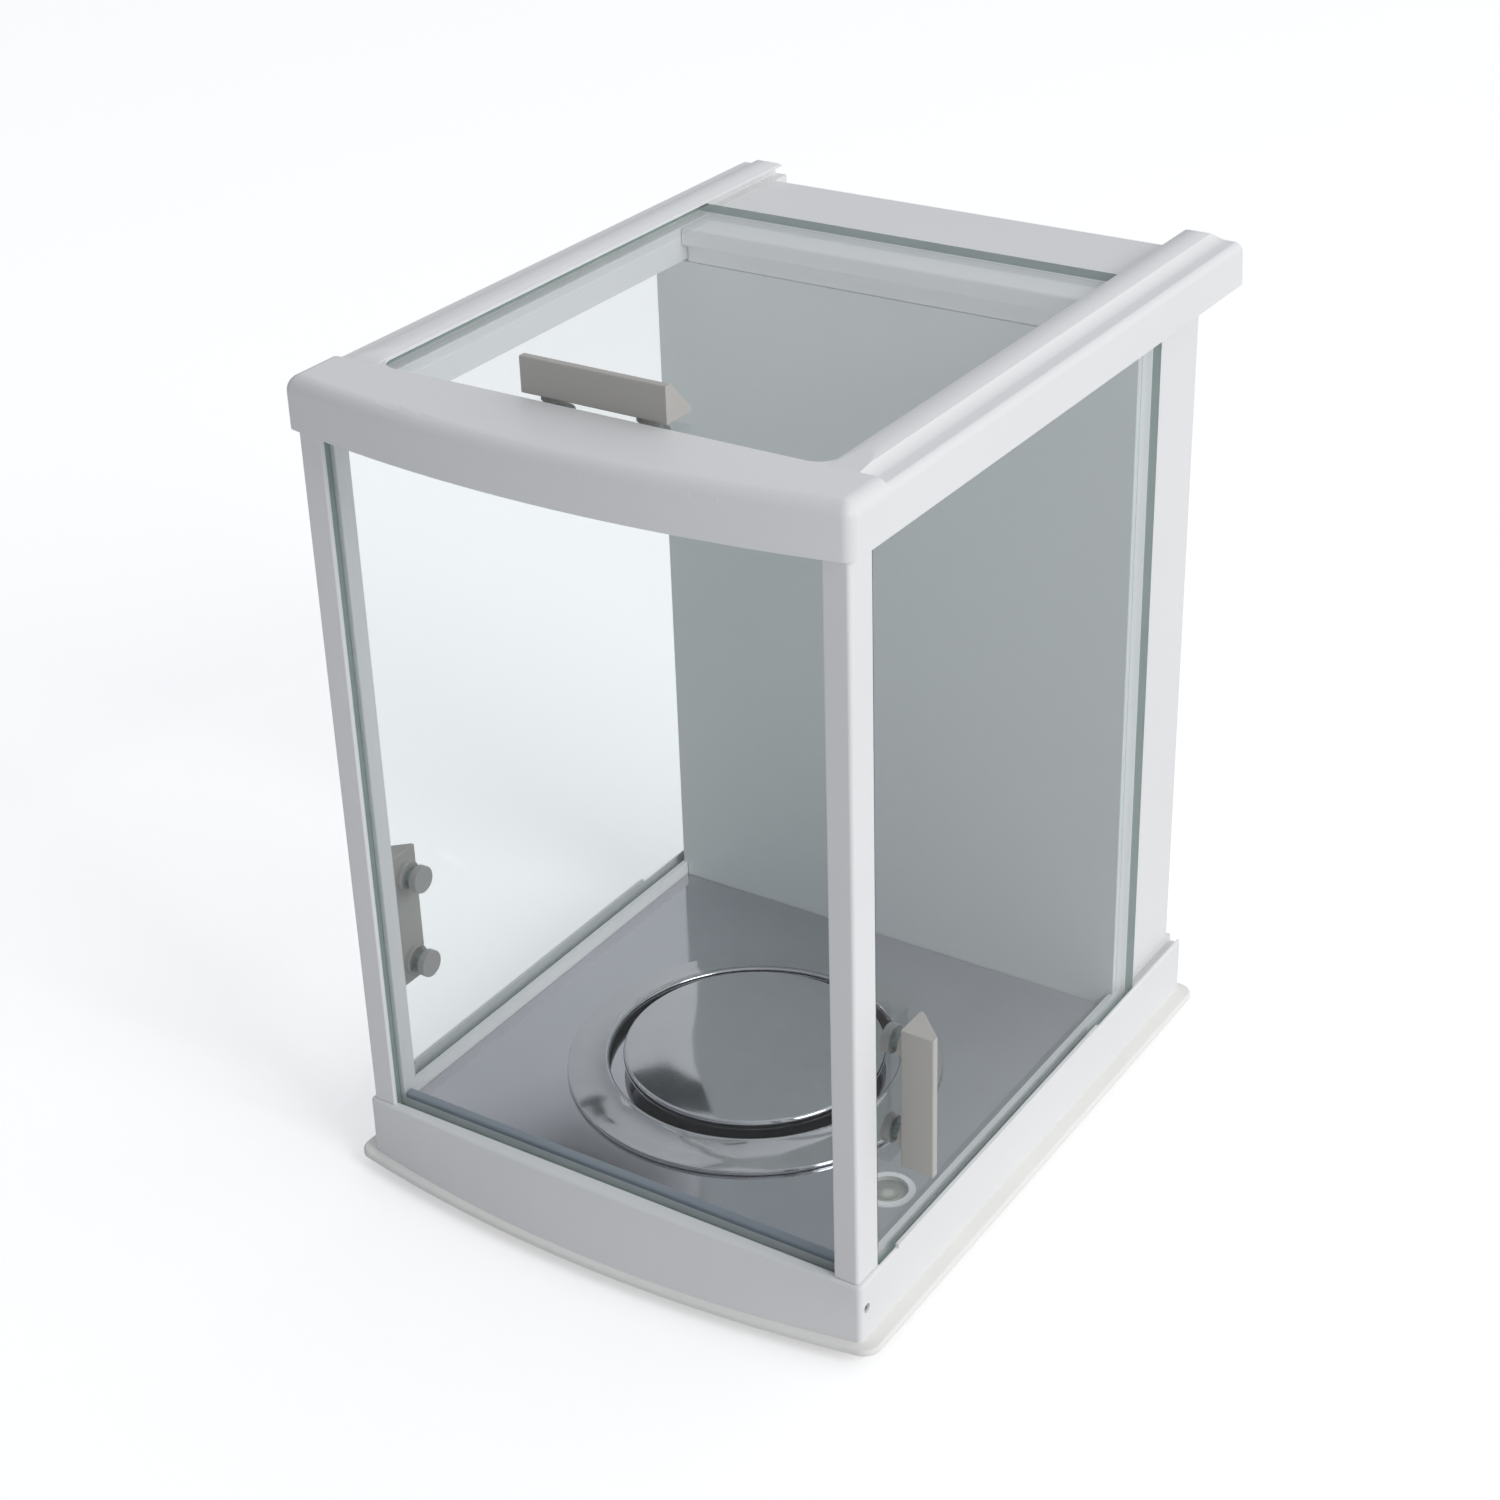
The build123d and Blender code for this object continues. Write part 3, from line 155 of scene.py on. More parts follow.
# The doorway is seen from its lowest corner: two leaning edges rise from it, a side edge closes it on
# the right and a lintel closes it above. Each edge is a plane through the room's middle.
doorway_corner = toward(38.4, 36.2)
doorway_across = doorway_corner.cross(Vector((0, 0, 1))).normalized()
doorway_up = doorway_across.cross(doorway_corner)
left_lean = math.tan(math.radians(18.5))
right_lean = math.tan(math.radians(29.2))
side_reach = math.tan(math.radians(2.1))
lintel_reach = math.tan(math.radians(6.5))
doorway_edges = (
    doorway_up + doorway_across * left_lean,
    doorway_up - doorway_across * right_lean,
    doorway_corner * side_reach - doorway_across,
    doorway_corner * lintel_reach - doorway_up,
)
inside_doorway = None
for edge_plane in doorway_edges:
    past_edge = add_node(sky_tree, "ShaderNodeVectorMath", {"operation": "DOT_PRODUCT", 1: edge_plane})
    sky_tree.links.new(past_edge.inputs[0], gaze)
    within = add_node(sky_tree, "ShaderNodeMath", {"operation": "GREATER_THAN", 1: 0.0})
    sky_tree.links.new(within.inputs[0], past_edge.outputs["Value"])
    if inside_doorway is not None:
        both = add_node(sky_tree, "ShaderNodeMath", {"operation": "MULTIPLY"})
        sky_tree.links.new(both.inputs[0], inside_doorway)
        sky_tree.links.new(both.inputs[1], within.outputs[0])
        within = both
    inside_doorway = within.outputs[0]
doorway_shade = {"data_type": "RGBA", 7: linear("#2C2E33")}
doorway = add_node(sky_tree, "ShaderNodeMix", doorway_shade, Factor=inside_doorway)
sky_tree.links.new(doorway.inputs[6], room.outputs[2])
sky_tree.links.new(sky_tree.nodes["Background"].inputs["Color"], doorway.outputs[2])
sky_tree.nodes["Background"].inputs["Strength"].default_value = 1.06
scene.world = world
scene.view_settings.view_transform = "Standard"


def soft_box(name, place, target, size, power):
    """A square area lamp at place, turned to face target."""
    lamp = bpy.data.lights.new(name, "AREA")
    lamp.size = size
    lamp.energy = power
    holder = bpy.data.objects.new(name, lamp)
    holder.location = place
    holder.rotation_euler = (Vector(target) - Vector(place)).to_track_quat("-Z", "Y").to_euler()
    scene.collection.objects.link(holder)


soft_box("window_soft_box", (4.9, -0.9, 3.3), (0, 0, 0.1), 2.4, 110.0)

# ------------------------------------------------------------------ feet
# Two rubber feet at the rear, and in front two levelling screws: a black nylon wheel with a scalloped
# grip on an M8 stud, turning in a brass bush above a rubber pad that stays still on the table.


def finish_nodes(material, *nodes):
    """Gives CAD nodes whose shape is right their material."""
    for node in nodes:
        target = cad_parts[node]
        if not target.data.materials:
            target.data.materials.append(material)
        for holder in target.material_slots:
            holder.material = material


def moulded(name, shades, roughness, grain=0.7, depth=0.05, spread=60.0, **values):
    """A moulded or coated surface: a fine grain, and shade and gloss that drift slowly. Sizes in mm."""
    material, tree, shader = new_material(name, **values)
    place = add_node(tree, "ShaderNodeTexCoord").outputs["Object"]
    fine = add_node(tree, "ShaderNodeTexNoise", {"Scale": 1 / (grain * MM), "Detail": 2.0}, Vector=place)
    broad = add_node(tree, "ShaderNodeTexNoise", {"Scale": 1 / (spread * MM), "Detail": 3.0}, Vector=place)
    shade = {"data_type": "RGBA", 6: linear(shades[0]), 7: linear(shades[1])}
    tone = add_node(tree, "ShaderNodeMix", shade, Factor=broad.outputs["Fac"])
    gloss_range = {"To Min": roughness - 0.05, "To Max": roughness + 0.07}
    gloss = add_node(tree, "ShaderNodeMapRange", gloss_range, Value=broad.outputs["Fac"])
    relief = {"Strength": 0.15, "Distance": depth * MM}
    bump = add_node(tree, "ShaderNodeBump", relief, Height=fine.outputs["Fac"])
    tree.links.new(shader.inputs["Base Color"], tone.outputs[2])
    tree.links.new(shader.inputs["Roughness"], gloss.outputs["Result"])
    tree.links.new(shader.inputs["Normal"], bump.outputs["Normal"])
    return material


def worked_metal(name, shades, roughness, grain, depth=0.01, streak=0.06):
    """Bare metal with the marks of its making; grain is the length of a mark along X, Y and Z in mm."""
    material, tree, shader = new_material(name, Metallic=1.0)
    place = add_node(tree, "ShaderNodeTexCoord").outputs["Object"]
    stretched = {"Scale": [1 / (length * MM) for length in grain]}
    along = add_node(tree, "ShaderNodeMapping", stretched, Vector=place)
    mark_noise = {"Scale": 1.0, "Detail": 4.0}
    marks = add_node(tree, "ShaderNodeTexNoise", mark_noise, Vector=along.outputs["Vector"])
    smears = add_node(tree, "ShaderNodeTexNoise", {"Scale": 1 / (35 * MM), "Detail": 2.0}, Vector=place)
    shade = {"data_type": "RGBA", 6: linear(shades[0]), 7: linear(shades[1])}
    tone = add_node(tree, "ShaderNodeMix", shade, Factor=smears.outputs["Fac"])
    gloss_range = {"To Min": roughness - streak, "To Max": roughness + streak}
    gloss = add_node(tree, "ShaderNodeMapRange", gloss_range, Value=marks.outputs["Fac"])
    relief = {"Strength": 0.3, "Distance": depth * MM}
    bump = add_node(tree, "ShaderNodeBump", relief, Height=marks.outputs["Fac"])
    tree.links.new(shader.inputs["Base Color"], tone.outputs[2])
    tree.links.new(shader.inputs["Roughness"], gloss.outputs["Result"])
    tree.links.new(shader.inputs["Normal"], bump.outputs["Normal"])
    return material


# Nitrile rubber: nearly black, and dusty enough to look dark grey at a low angle.
nitrile_rubber = moulded("nitrile_rubber", ("#202022", "#2C2C2E"), 0.75, grain=0.9, depth=0.12)
# Glass-filled nylon: black with a faint sheen, and a speckle that moulding leaves.
black_nylon = moulded("black_nylon", ("#232325", "#2E2E31"), 0.45, grain=1.0, depth=0.08)
# Turned brass: warm yellow, with rings too fine to see one by one, only a blurred highlight.
turned_brass = worked_metal("turned_brass", ("#C79F4E", "#D5B165"), 0.24, (0.6, 0.6, 8.0))
finish_nodes(nitrile_rubber, "left_foot_pad", "right_foot_pad", "rear_feet")
finish_nodes(black_nylon, "left_foot_wheel", "right_foot_wheel")
finish_nodes(turned_brass, "foot_bushes")

# ------------------------------------------------------------------ base plate
# A pressed steel plate that closes the plinth from below and shows as a thin lip all round its foot.
# It is powder coated in a warm white, which pools a little and looks faintly mottled.
cream_powder_coat = moulded(
    "cream_powder_coat", ("#F1F0EB", "#F7F6F2"), 0.5, grain=1.4, depth=0.16, spread=30.0
)
finish_nodes(cream_powder_coat, "base_plate")

# ------------------------------------------------------------------ plinth
# One injection-moulded white ABS tray with a bowed, sloping front; the doors run in its grooves.
# It is screwed to the base plate from below, and each edge is rounded by the mould.


def place_piece(piece, body, material=None, stands_for=()):
    """Gives a finished piece its material and ties it to its body."""
    if piece.name not in scene.collection.objects:
        scene.collection.objects.link(piece)
    if material is not None:
        piece.data.materials.clear()
        piece.data.materials.append(material)
    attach(piece, body)
    if stands_for:
        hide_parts(*stands_for)
    return piece


weld = 0.002 * MM
flat_within = math.radians(0.5)


def merged_mesh(node, name):
    """A copy of a CAD node's mesh with its loose triangles joined into flat faces."""
    mesh = bpy.data.meshes.new(name)
    shape = bmesh.new()
    shape.from_mesh(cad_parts[node].data)
    bmesh.ops.remove_doubles(shape, verts=shape.verts, dist=weld)
    bmesh.ops.dissolve_limit(shape, angle_limit=flat_within, verts=shape.verts, edges=shape.edges)
    shape.to_mesh(mesh)
    shape.free()
    mesh.polygons.foreach_set("use_smooth", [True] * len(mesh.polygons))
    return mesh


def rounded_copy(node, name, edge, sharp=30.0):
    """The node's shape with its sharp edges rounded by edge millimetres, as a mould leaves them."""
    piece = bpy.data.objects.new(name, merged_mesh(node, name))
    scene.collection.objects.link(piece)
    rounding = piece.modifiers.new("rounding", "BEVEL")
    rounding.width = edge * MM
    rounding.segments = 3
    rounding.limit_method = "ANGLE"
    rounding.angle_limit = math.radians(sharp)
    normals = piece.modifiers.new("flat_normals", "WEIGHTED_NORMAL")
    normals.keep_sharp = True
    return piece


# White ABS with a fine spark-eroded texture: satin, neutral, and a little uneven in gloss. The real
# texture is about 0.1 mm; it is drawn at 0.7 mm, the finest that still shows.
white_abs = moulded("white_abs", ("#E9EAEA", "#F0F0F0"), 0.42)
plinth_edge = 0.5
plinth_moulding = rounded_copy("plinth", "plinth_moulding", plinth_edge)
place_piece(plinth_moulding, "body", white_abs, ("plinth",))

# ------------------------------------------------------------------ screws
# Zinc-plated cross-head screws: two small ones that hold the plinth's front corners, six under the
# base and six in the back panel. The heads are cold-formed, with a tapered rim and a cross recess.


def solid_boxes(node):
    """The lowest and highest corner of each separate solid in a CAD node."""
    shape = bmesh.new()
    shape.from_mesh(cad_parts[node].data)
    bmesh.ops.remove_doubles(shape, verts=shape.verts, dist=weld)
    waiting = set(shape.verts)
    boxes = []
    while waiting:
        solid = [waiting.pop()]
        for vert in solid:
            for edge in vert.link_edges:
                other = edge.other_vert(vert)
                if other in waiting:
                    waiting.remove(other)
                    solid.append(other)
        low = Vector([min(vert.co[i] for vert in solid) for i in range(3)])
        high = Vector([max(vert.co[i] for vert in solid) for i in range(3)])
        boxes.append((low, high))
    shape.free()
    return sorted(boxes, key=lambda box: tuple(round(value, 5) for value in box[0]))


screw_sizes = ("Head Radius", "Head Height", "Shank Radius", "Shank Length", "Recess Width")
screw_tree = bpy.data.node_groups.new("cross_head_screws", "GeometryNodeTree")
screw_tree.interface.new_socket("Places", in_out="INPUT", socket_type="NodeSocketGeometry")
for size_name in screw_sizes:
    screw_tree.interface.new_socket(size_name, in_out="INPUT", socket_type="NodeSocketFloat")
screw_tree.interface.new_socket("Turn", in_out="INPUT", socket_type="NodeSocketVector")
screw_tree.interface.new_socket("Material", in_out="INPUT", socket_type="NodeSocketMaterial")
screw_tree.interface.new_socket("Screws", in_out="OUTPUT", socket_type="NodeSocketGeometry")
given = add_node(screw_tree, "NodeGroupInput").outputs
rim_share = 0.78
recess_share = 0.28
arm_share = 3.4
rim = add_node(screw_tree, "ShaderNodeMath", {"operation": "MULTIPLY", 1: rim_share})
screw_tree.links.new(rim.inputs[0], given["Head Radius"])
head = add_node(
    screw_tree,
    "GeometryNodeMeshCone",
    {"Vertices": 32},
    Radius_Bottom=given["Head Radius"],
    Radius_Top=rim.outputs[0],
    Depth=given["Head Height"],
)
arm = add_node(screw_tree, "ShaderNodeMath", {"operation": "MULTIPLY", 1: arm_share})
screw_tree.links.new(arm.inputs[0], given["Recess Width"])
arm_size = add_node(
    screw_tree, "ShaderNodeCombineXYZ", X=arm.outputs[0], Y=given["Recess Width"], Z=given["Head Height"]
)
arm_lift = add_node(screw_tree, "ShaderNodeCombineXYZ", Z=given["Head Height"])
long_arm = add_node(screw_tree, "GeometryNodeMeshCube", Size=arm_size.outputs[0])
first_arm = add_node(
    screw_tree, "GeometryNodeTransform", Geometry=long_arm.outputs["Mesh"], Translation=arm_lift.outputs[0]
)
second_arm = add_node(
    screw_tree,
    "GeometryNodeTransform",
    {"Rotation": (0, 0, math.pi / 2)},
    Geometry=first_arm.outputs[0],
)
recessed = add_node(
    screw_tree, "GeometryNodeMeshBoolean", {"operation": "DIFFERENCE"}, Mesh_1=head.outputs["Mesh"]
)
screw_tree.links.new(recessed.inputs["Mesh 2"], first_arm.outputs[0])
screw_tree.links.new(recessed.inputs["Mesh 2"], second_arm.outputs[0])
shank = add_node(
    screw_tree,
    "GeometryNodeMeshCone",
    {"Vertices": 24},
    Radius_Bottom=given["Shank Radius"],
    Radius_Top=given["Shank Radius"],
    Depth=given["Shank Length"],
)
shank_down = add_node(
    screw_tree, "GeometryNodeTransform", {"Rotation": (math.pi, 0, 0)}, Geometry=shank.outputs["Mesh"]
)
whole_screw = add_node(screw_tree, "GeometryNodeJoinGeometry")
screw_tree.links.new(whole_screw.inputs[0], recessed.outputs[0])
screw_tree.links.new(whole_screw.inputs[0], shank_down.outputs[0])
set_out = add_node(
    screw_tree,
    "GeometryNodeInstanceOnPoints",
    Points=given["Places"],
    Instance=whole_screw.outputs[0],
    Rotation=given["Turn"],
)
real_screws = add_node(screw_tree, "GeometryNodeRealizeInstances", Geometry=set_out.outputs["Instances"])
plated = add_node(
    screw_tree, "GeometryNodeSetMaterial", Geometry=real_screws.outputs[0], Material=given["Material"]
)
add_node(screw_tree, "NodeGroupOutput", Screws=plated.outputs[0])


def run_tree(tree, name, places, values):
    """A plain mesh object from a node tree: its base mesh has one point at each place."""
    base = bpy.data.meshes.new(name)
    base.from_pydata([tuple(place) for place in places], [], [])
    piece = bpy.data.objects.new(name, base)
    scene.collection.objects.link(piece)
    maker = piece.modifiers.new("maker", "NODES")
    maker.node_group = tree
    for item in tree.interface.items_tree:
        if item.in_out == "INPUT" and item.name in values:
            maker[item.identifier] = values[item.name]
    seen = piece.evaluated_get(bpy.context.evaluated_depsgraph_get())
    made = bpy.data.meshes.new_from_object(seen)
    piece.modifiers.clear()
    piece.data = made
    made.name = name
    return piece


# Bright zinc plating over steel: bluish white metal, slightly dull, with a few smears.
zinc_plated_steel = worked_metal("zinc_plated_steel", ("#A9ABAF", "#BDBFC2"), 0.28, (0.8, 0.8, 0.8))


def screw_set(name, places, turn, head_radius, head_height, shank_radius, shank_length):
    """Screws with their heads' undersides at places; sizes in metres, turn in degrees."""
    values = {
        "Head Radius": head_radius,
        "Head Height": head_height,
        "Shank Radius": shank_radius,
        "Shank Length": shank_length,
        "Recess Width": head_radius * recess_share,
        "Turn": [math.radians(angle) for angle in turn],
        "Material": zinc_plated_steel,
    }
    return run_tree(screw_tree, name, places, values)


back_screws = solid_boxes("panel_screws")
panel_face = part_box("back_panel")[1].y
screw_low, screw_high = back_screws[0]
back_head = (screw_high.x - screw_low.x) / 2
back_places = [((low.x + high.x) / 2, panel_face, (low.z + high.z) / 2) for low, high in back_screws]
back_set = screw_set(
    "back_panel_screws",
    back_places,
    (-90, 0, 0),
    back_head,
    screw_high.y - panel_face,
    back_head / 2,
    panel_face - screw_low.y,
)
place_piece(back_set, "body", None, ("panel_screws",))

under_screws = solid_boxes("base_screws")
plate_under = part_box("base_plate")[0].z
screw_low, screw_high = under_screws[0]
under_head = (screw_high.x - screw_low.x) / 2
under_places = [((low.x + high.x) / 2, (low.y + high.y) / 2, plate_under) for low, high in under_screws]
under_set = screw_set(
    "base_plate_screws",
    under_places,
    (180, 0, 0),
    under_head,
    plate_under - screw_low.z,
    under_head / 2,
    screw_high.z - plate_under,
)
place_piece(under_set, "body", None, ("base_screws",))

side_boxes = solid_boxes("plinth_screws")
side_parts = []
for side, (low, high) in zip((-1, 1), side_boxes):
    side_head = (high.z - low.z) / 2
    side_depth = high.x - low.x
    seat_x = (low.x if side > 0 else high.x) + side * side_depth / 2
    side_place = [(seat_x, (low.y + high.y) / 2, (low.z + high.z) / 2)]
    side_parts.append(
        screw_set(
            f"{'left' if side < 0 else 'right'}_plinth_screw",
            side_place,
            (0, side * 90, 0),
            side_head,
            side_depth / 2,
            side_head / 2,
            side_depth / 2,
        )
    )
place_piece(side_parts[0], "body", None, ("plinth_screws",))
place_piece(side_parts[1], "body", None)

# ------------------------------------------------------------------ chamber floor
# A sheet of satin stainless steel laid in the plinth's well, rolled with a grain from side to side.
# It mirrors the chamber softly: the rear wall shows in it, and dark things outside cut across it.
satin_stainless = worked_metal(
    "satin_stainless", ("#C6C6CC", "#D4D4D9"), 0.09, (60.0, 0.7, 0.7), depth=0.0004, streak=0.03
)
finish_nodes(satin_stainless, "chamber_floor")

# ------------------------------------------------------------------ front glass seal
# An extruded silicone strip between the foot of the front glass and the steel floor.
# It is blue grey and faintly shiny, and rounded along its top.
grey_silicone = moulded("grey_silicone", ("#8F98A3", "#9CA5AF"), 0.35, grain=1.2, depth=0.04)
finish_nodes(grey_silicone, "front_glass_seal")

# ------------------------------------------------------------------ level vial
# A white acetal cup pressed into the floor, holding a clear liquid with an air bubble under an acrylic
# window, with a ring printed on it that the bubble is centred in.


def lathe(name, outline, axis_place, steps=128):
    """A turned shape; outline is (radius, height) points in metres, from axis to axis or closed."""
    mesh = bpy.data.meshes.new(name)
    shape = bmesh.new()
    verts = [shape.verts.new((radius, 0, height)) for radius, height in outline]
    edges = [shape.edges.new((a, b)) for a, b in zip(verts, verts[1:])]
    if outline[0][0] > 0 and outline[-1][0] > 0:
        edges.append(shape.edges.new((verts[-1], verts[0])))
    bmesh.ops.spin(
        shape, geom=verts + edges, cent=(0, 0, 0), axis=(0, 0, 1), angle=2 * math.pi, steps=steps
    )
    bmesh.ops.remove_doubles(shape, verts=shape.verts, dist=0.001 * MM)
    bmesh.ops.dissolve_degenerate(shape, edges=shape.edges, dist=0.001 * MM)
    bmesh.ops.recalc_face_normals(shape, faces=shape.faces)
    bmesh.ops.translate(shape, verts=shape.verts, vec=axis_place)
    shape.to_mesh(mesh)
    shape.free()
    mesh.polygons.foreach_set("use_smooth", [True] * len(mesh.polygons))
    piece = bpy.data.objects.new(name, mesh)
    scene.collection.objects.link(piece)
    return piece


def arc(middle, radius, start, end, steps=6):
    """Points of a circular arc in the (radius, height) plane; angles in degrees."""
    angles = [math.radians(start + (end - start) * i / steps) for i in range(steps + 1)]
    return [(middle[0] + radius * math.cos(a), middle[1] + radius * math.sin(a)) for a in angles]


# Acetal: clean white, waxy, with soft highlights.
white_acetal = moulded(
    "white_acetal", ("#F0F0EC", "#F6F6F3"), 0.35, grain=1.0, depth=0.02, Subsurface_Weight=0.1
)
finish_nodes(white_acetal, "level_vial_cup")
cup_low, cup_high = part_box("level_vial_cup")
lens_low, lens_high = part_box("level_vial_lens")
vial_axis = Vector(((cup_low.x + cup_high.x) / 2, (cup_low.y + cup_high.y) / 2, 0))
bore = (lens_high.x - lens_low.x) / 2
liquid_top = lens_low.z - 0.1 * MM
liquid_low = cup_low.z + 1.3 * MM
liquid_radius = bore - 0.05 * MM
liquid_outline = [(0, liquid_low), (liquid_radius, liquid_low), (liquid_radius, liquid_top), (0, liquid_top)]
# Spirit: almost clear, with a trace of yellow, so that the white cup shines through.
vial_spirit, _, _ = new_material(
    "vial_spirit", Base_Color=linear("#F5F6F1"), Roughness=0.08, IOR=1.36, Transmission_Weight=0.6
)
place_piece(lathe("vial_liquid", liquid_outline, vial_axis, 48), "body", vial_spirit)
bubble_radius = 2.4 * MM
bubble_rise = 0.5 * MM
bubble_outline = [
    (bubble_radius * math.sin(a), liquid_top + bubble_rise * math.cos(a) - bubble_rise * 0.6)
    for a in [math.pi * i / 12 for i in range(13)]
]
bubble_air, _, _ = new_material(
    "bubble_air", Base_Color=linear("#FAFBF6"), Roughness=0.03, IOR=1.1, Transmission_Weight=0.5
)
place_piece(lathe("vial_bubble", bubble_outline, vial_axis, 32), "body", bubble_air)
ring_ink, _, _ = new_material("grey_ring_ink", Base_Color=linear("#8A8B8F"), Roughness=0.5)
ring_width = 0.35 * MM
print_radius = 3.2 * MM
print_top = lens_low.z - 0.01 * MM
print_under = print_top - 0.06 * MM
print_outline = [
    (print_radius, print_top),
    (print_radius + ring_width, print_top),
    (print_radius + ring_width, print_under),
    (print_radius, print_under),
]
place_piece(lathe("vial_printed_ring", print_outline, vial_axis, 64), "body", ring_ink)

# ------------------------------------------------------------------ front posts and glass
# Two white mouldings with a rounded outer corner, standing on the plinth, hold the front glass in
# their slots. The glass is 3.5 mm float glass, and its edges are ground and look grey green.


face_shine = 0.02


def clear_pane(name, tint, edge_shine):
    """Float glass: a straight see-through layer, with reflection that grows towards a grazing look."""
    material, tree, shader = new_material(name)
    tree.nodes.remove(shader)
    straight = add_node(tree, "ShaderNodeBsdfTransparent", {"Color": linear(tint)})
    mirror = add_node(tree, "ShaderNodeBsdfGlossy", {"Roughness": 0.0, "Color": linear("#FFFFFF")})
    turned = add_node(tree, "ShaderNodeLayerWeight", {"Blend": 0.5})
    grazing = add_node(tree, "ShaderNodeMath", {"operation": "POWER", 1: 5.0})
    tree.links.new(grazing.inputs[0], turned.outputs["Facing"])
    share = add_node(
        tree, "ShaderNodeMapRange", {"To Min": face_shine, "To Max": edge_shine}, Value=grazing.outputs[0]
    )
    both = add_node(tree, "ShaderNodeMixShader")
    tree.links.new(both.inputs[0], share.outputs[0])
    tree.links.new(both.inputs[1], straight.outputs[0])
    tree.links.new(both.inputs[2], mirror.outputs[0])
    tree.links.new(tree.nodes["Material Output"].inputs["Surface"], both.outputs[0])
    return material


# Float glass is clear face on, with a trace of green.
float_glass = clear_pane("float_glass", "#FDFEFE", 0.9)
# A ground edge scatters the light that runs inside the pane, so it shows as a grey-green line.
ground_edge = moulded("ground_glass_edge", ("#8DA09B", "#A5B4B0"), 0.22, grain=0.6, depth=0.03, spread=25.0)
pane_bevel = 0.25


def glass_pane(node, name, body, thin_axis):
    """A pane in the node's place: clear on its two large faces, ground along its edges and holes."""
    piece = bpy.data.objects.new(name, merged_mesh(node, name))
    scene.collection.objects.link(piece)
    piece.data.materials.append(float_glass)
    piece.data.materials.append(ground_edge)
    for face in piece.data.polygons:
        on_face = abs(face.normal[thin_axis]) > 0.99
        face.material_index = 0 if on_face else 1
        face.use_smooth = False
    piece.modifiers.new("ground_bevel", "BEVEL").width = pane_bevel * MM
    place_piece(piece, body, None, (node,))
    return piece


post_edge = 0.5
for side in ("left", "right"):
    post = rounded_copy(f"{side}_front_post", f"{side}_post_moulding", post_edge)
    place_piece(post, "body", white_abs, (f"{side}_front_post",))
glass_pane("front_glass", "front_glass_pane", "body", 1)

# ------------------------------------------------------------------ top frame
# A bowed front bar, two extruded side rails with a rounded ridge, and a bar across the rear carry the
# sliding top glass. All are white ABS, joined by hidden screws, with a hairline joint where they meet.
frame_pieces = {
    "front_bar": ("front_bar_moulding", 0.5),
    "left_rail": ("left_rail_moulding", 0.4),
    "right_rail": ("right_rail_moulding", 0.4),
    "rear_crossbar": ("crossbar_moulding", 0.4),
}
for node, (name, edge) in frame_pieces.items():
    place_piece(rounded_copy(node, name, edge), "body", white_abs, (node,))

# ------------------------------------------------------------------ rear wall
# A flat steel sheet behind the chamber, with a satin grey paint that has a trace of green.
# It hides the weighing cell, and reflects the chamber very faintly.
grey_satin_paint = moulded(
    "grey_satin_paint", ("#DAE0DE", "#E0E5E3"), 0.38, grain=0.9, depth=0.002, spread=120.0
)
wall_edge = 0.3
rear_wall_sheet = rounded_copy("rear_wall", "rear_wall_sheet", wall_edge)
place_piece(rear_wall_sheet, "body", grey_satin_paint, ("rear_wall",))

# ------------------------------------------------------------------ tower
# The tower behind the chamber is one white ABS shell on the plinth, with square steel posts inside it.
# A powder-coated steel panel with thirteen vents closes its back and carries the sockets.
tower_edge = 0.5
tower_moulding = rounded_copy("rear_housing", "tower_moulding", tower_edge)
place_piece(tower_moulding, "body", white_abs, ("rear_housing",))
# White powder coat: a fine orange peel that breaks up the reflections.
white_powder_coat = moulded(
    "white_powder_coat", ("#E2E3E3", "#E9E9E9"), 0.5, grain=1.6, depth=0.18, spread=40.0
)
finish_nodes(white_powder_coat, "back_panel", "left_rear_post", "right_rear_post", "panel_blocks")

# ------------------------------------------------------------------ rating plate
# A blank foil plate stuck to the back panel, where such an instrument carries its rating.
# The foil is matte silver with rounded corners, and nothing is printed on it.
plate_width = 46.0 * MM
plate_height = 24.0 * MM
plate_thickness = 0.25 * MM
plate_corner = 2.5 * MM
panel_low, panel_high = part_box("back_panel")
socket_low, socket_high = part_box("data_socket")
plate_x = panel_low.x + 44.0 * MM
plate_z = (socket_low.z + socket_high.z) / 2
plate_shape = bmesh.new()
corner_middles = [
    (plate_width / 2 - plate_corner, plate_height / 2 - plate_corner, 0),
    (-plate_width / 2 + plate_corner, plate_height / 2 - plate_corner, 90),
    (-plate_width / 2 + plate_corner, -plate_height / 2 + plate_corner, 180),
    (plate_width / 2 - plate_corner, -plate_height / 2 + plate_corner, 270),
]
plate_rim = []
for across, height, start in corner_middles:
    plate_rim += arc((across, height), plate_corner, start, start + 90)
plate_verts = [plate_shape.verts.new((plate_x + a, panel_high.y, plate_z + b)) for a, b in plate_rim]
plate_face = plate_shape.faces.new(plate_verts)
thick = bmesh.ops.extrude_face_region(plate_shape, geom=[plate_face])
moved = [item for item in thick["geom"] if isinstance(item, bmesh.types.BMVert)]
bmesh.ops.translate(plate_shape, verts=moved, vec=(0, plate_thickness, 0))
bmesh.ops.recalc_face_normals(plate_shape, faces=plate_shape.faces)
plate_mesh = bpy.data.meshes.new("rating_plate")
plate_shape.to_mesh(plate_mesh)
plate_shape.free()
# Anodised foil: pale silver with a fine horizontal brushing.
anodised_foil = worked_metal("anodised_foil", ("#C6C8CA", "#D2D3D5"), 0.38, (20.0, 1.0, 0.5))
place_piece(bpy.data.objects.new("rating_plate", plate_mesh), "body", anodised_foil)

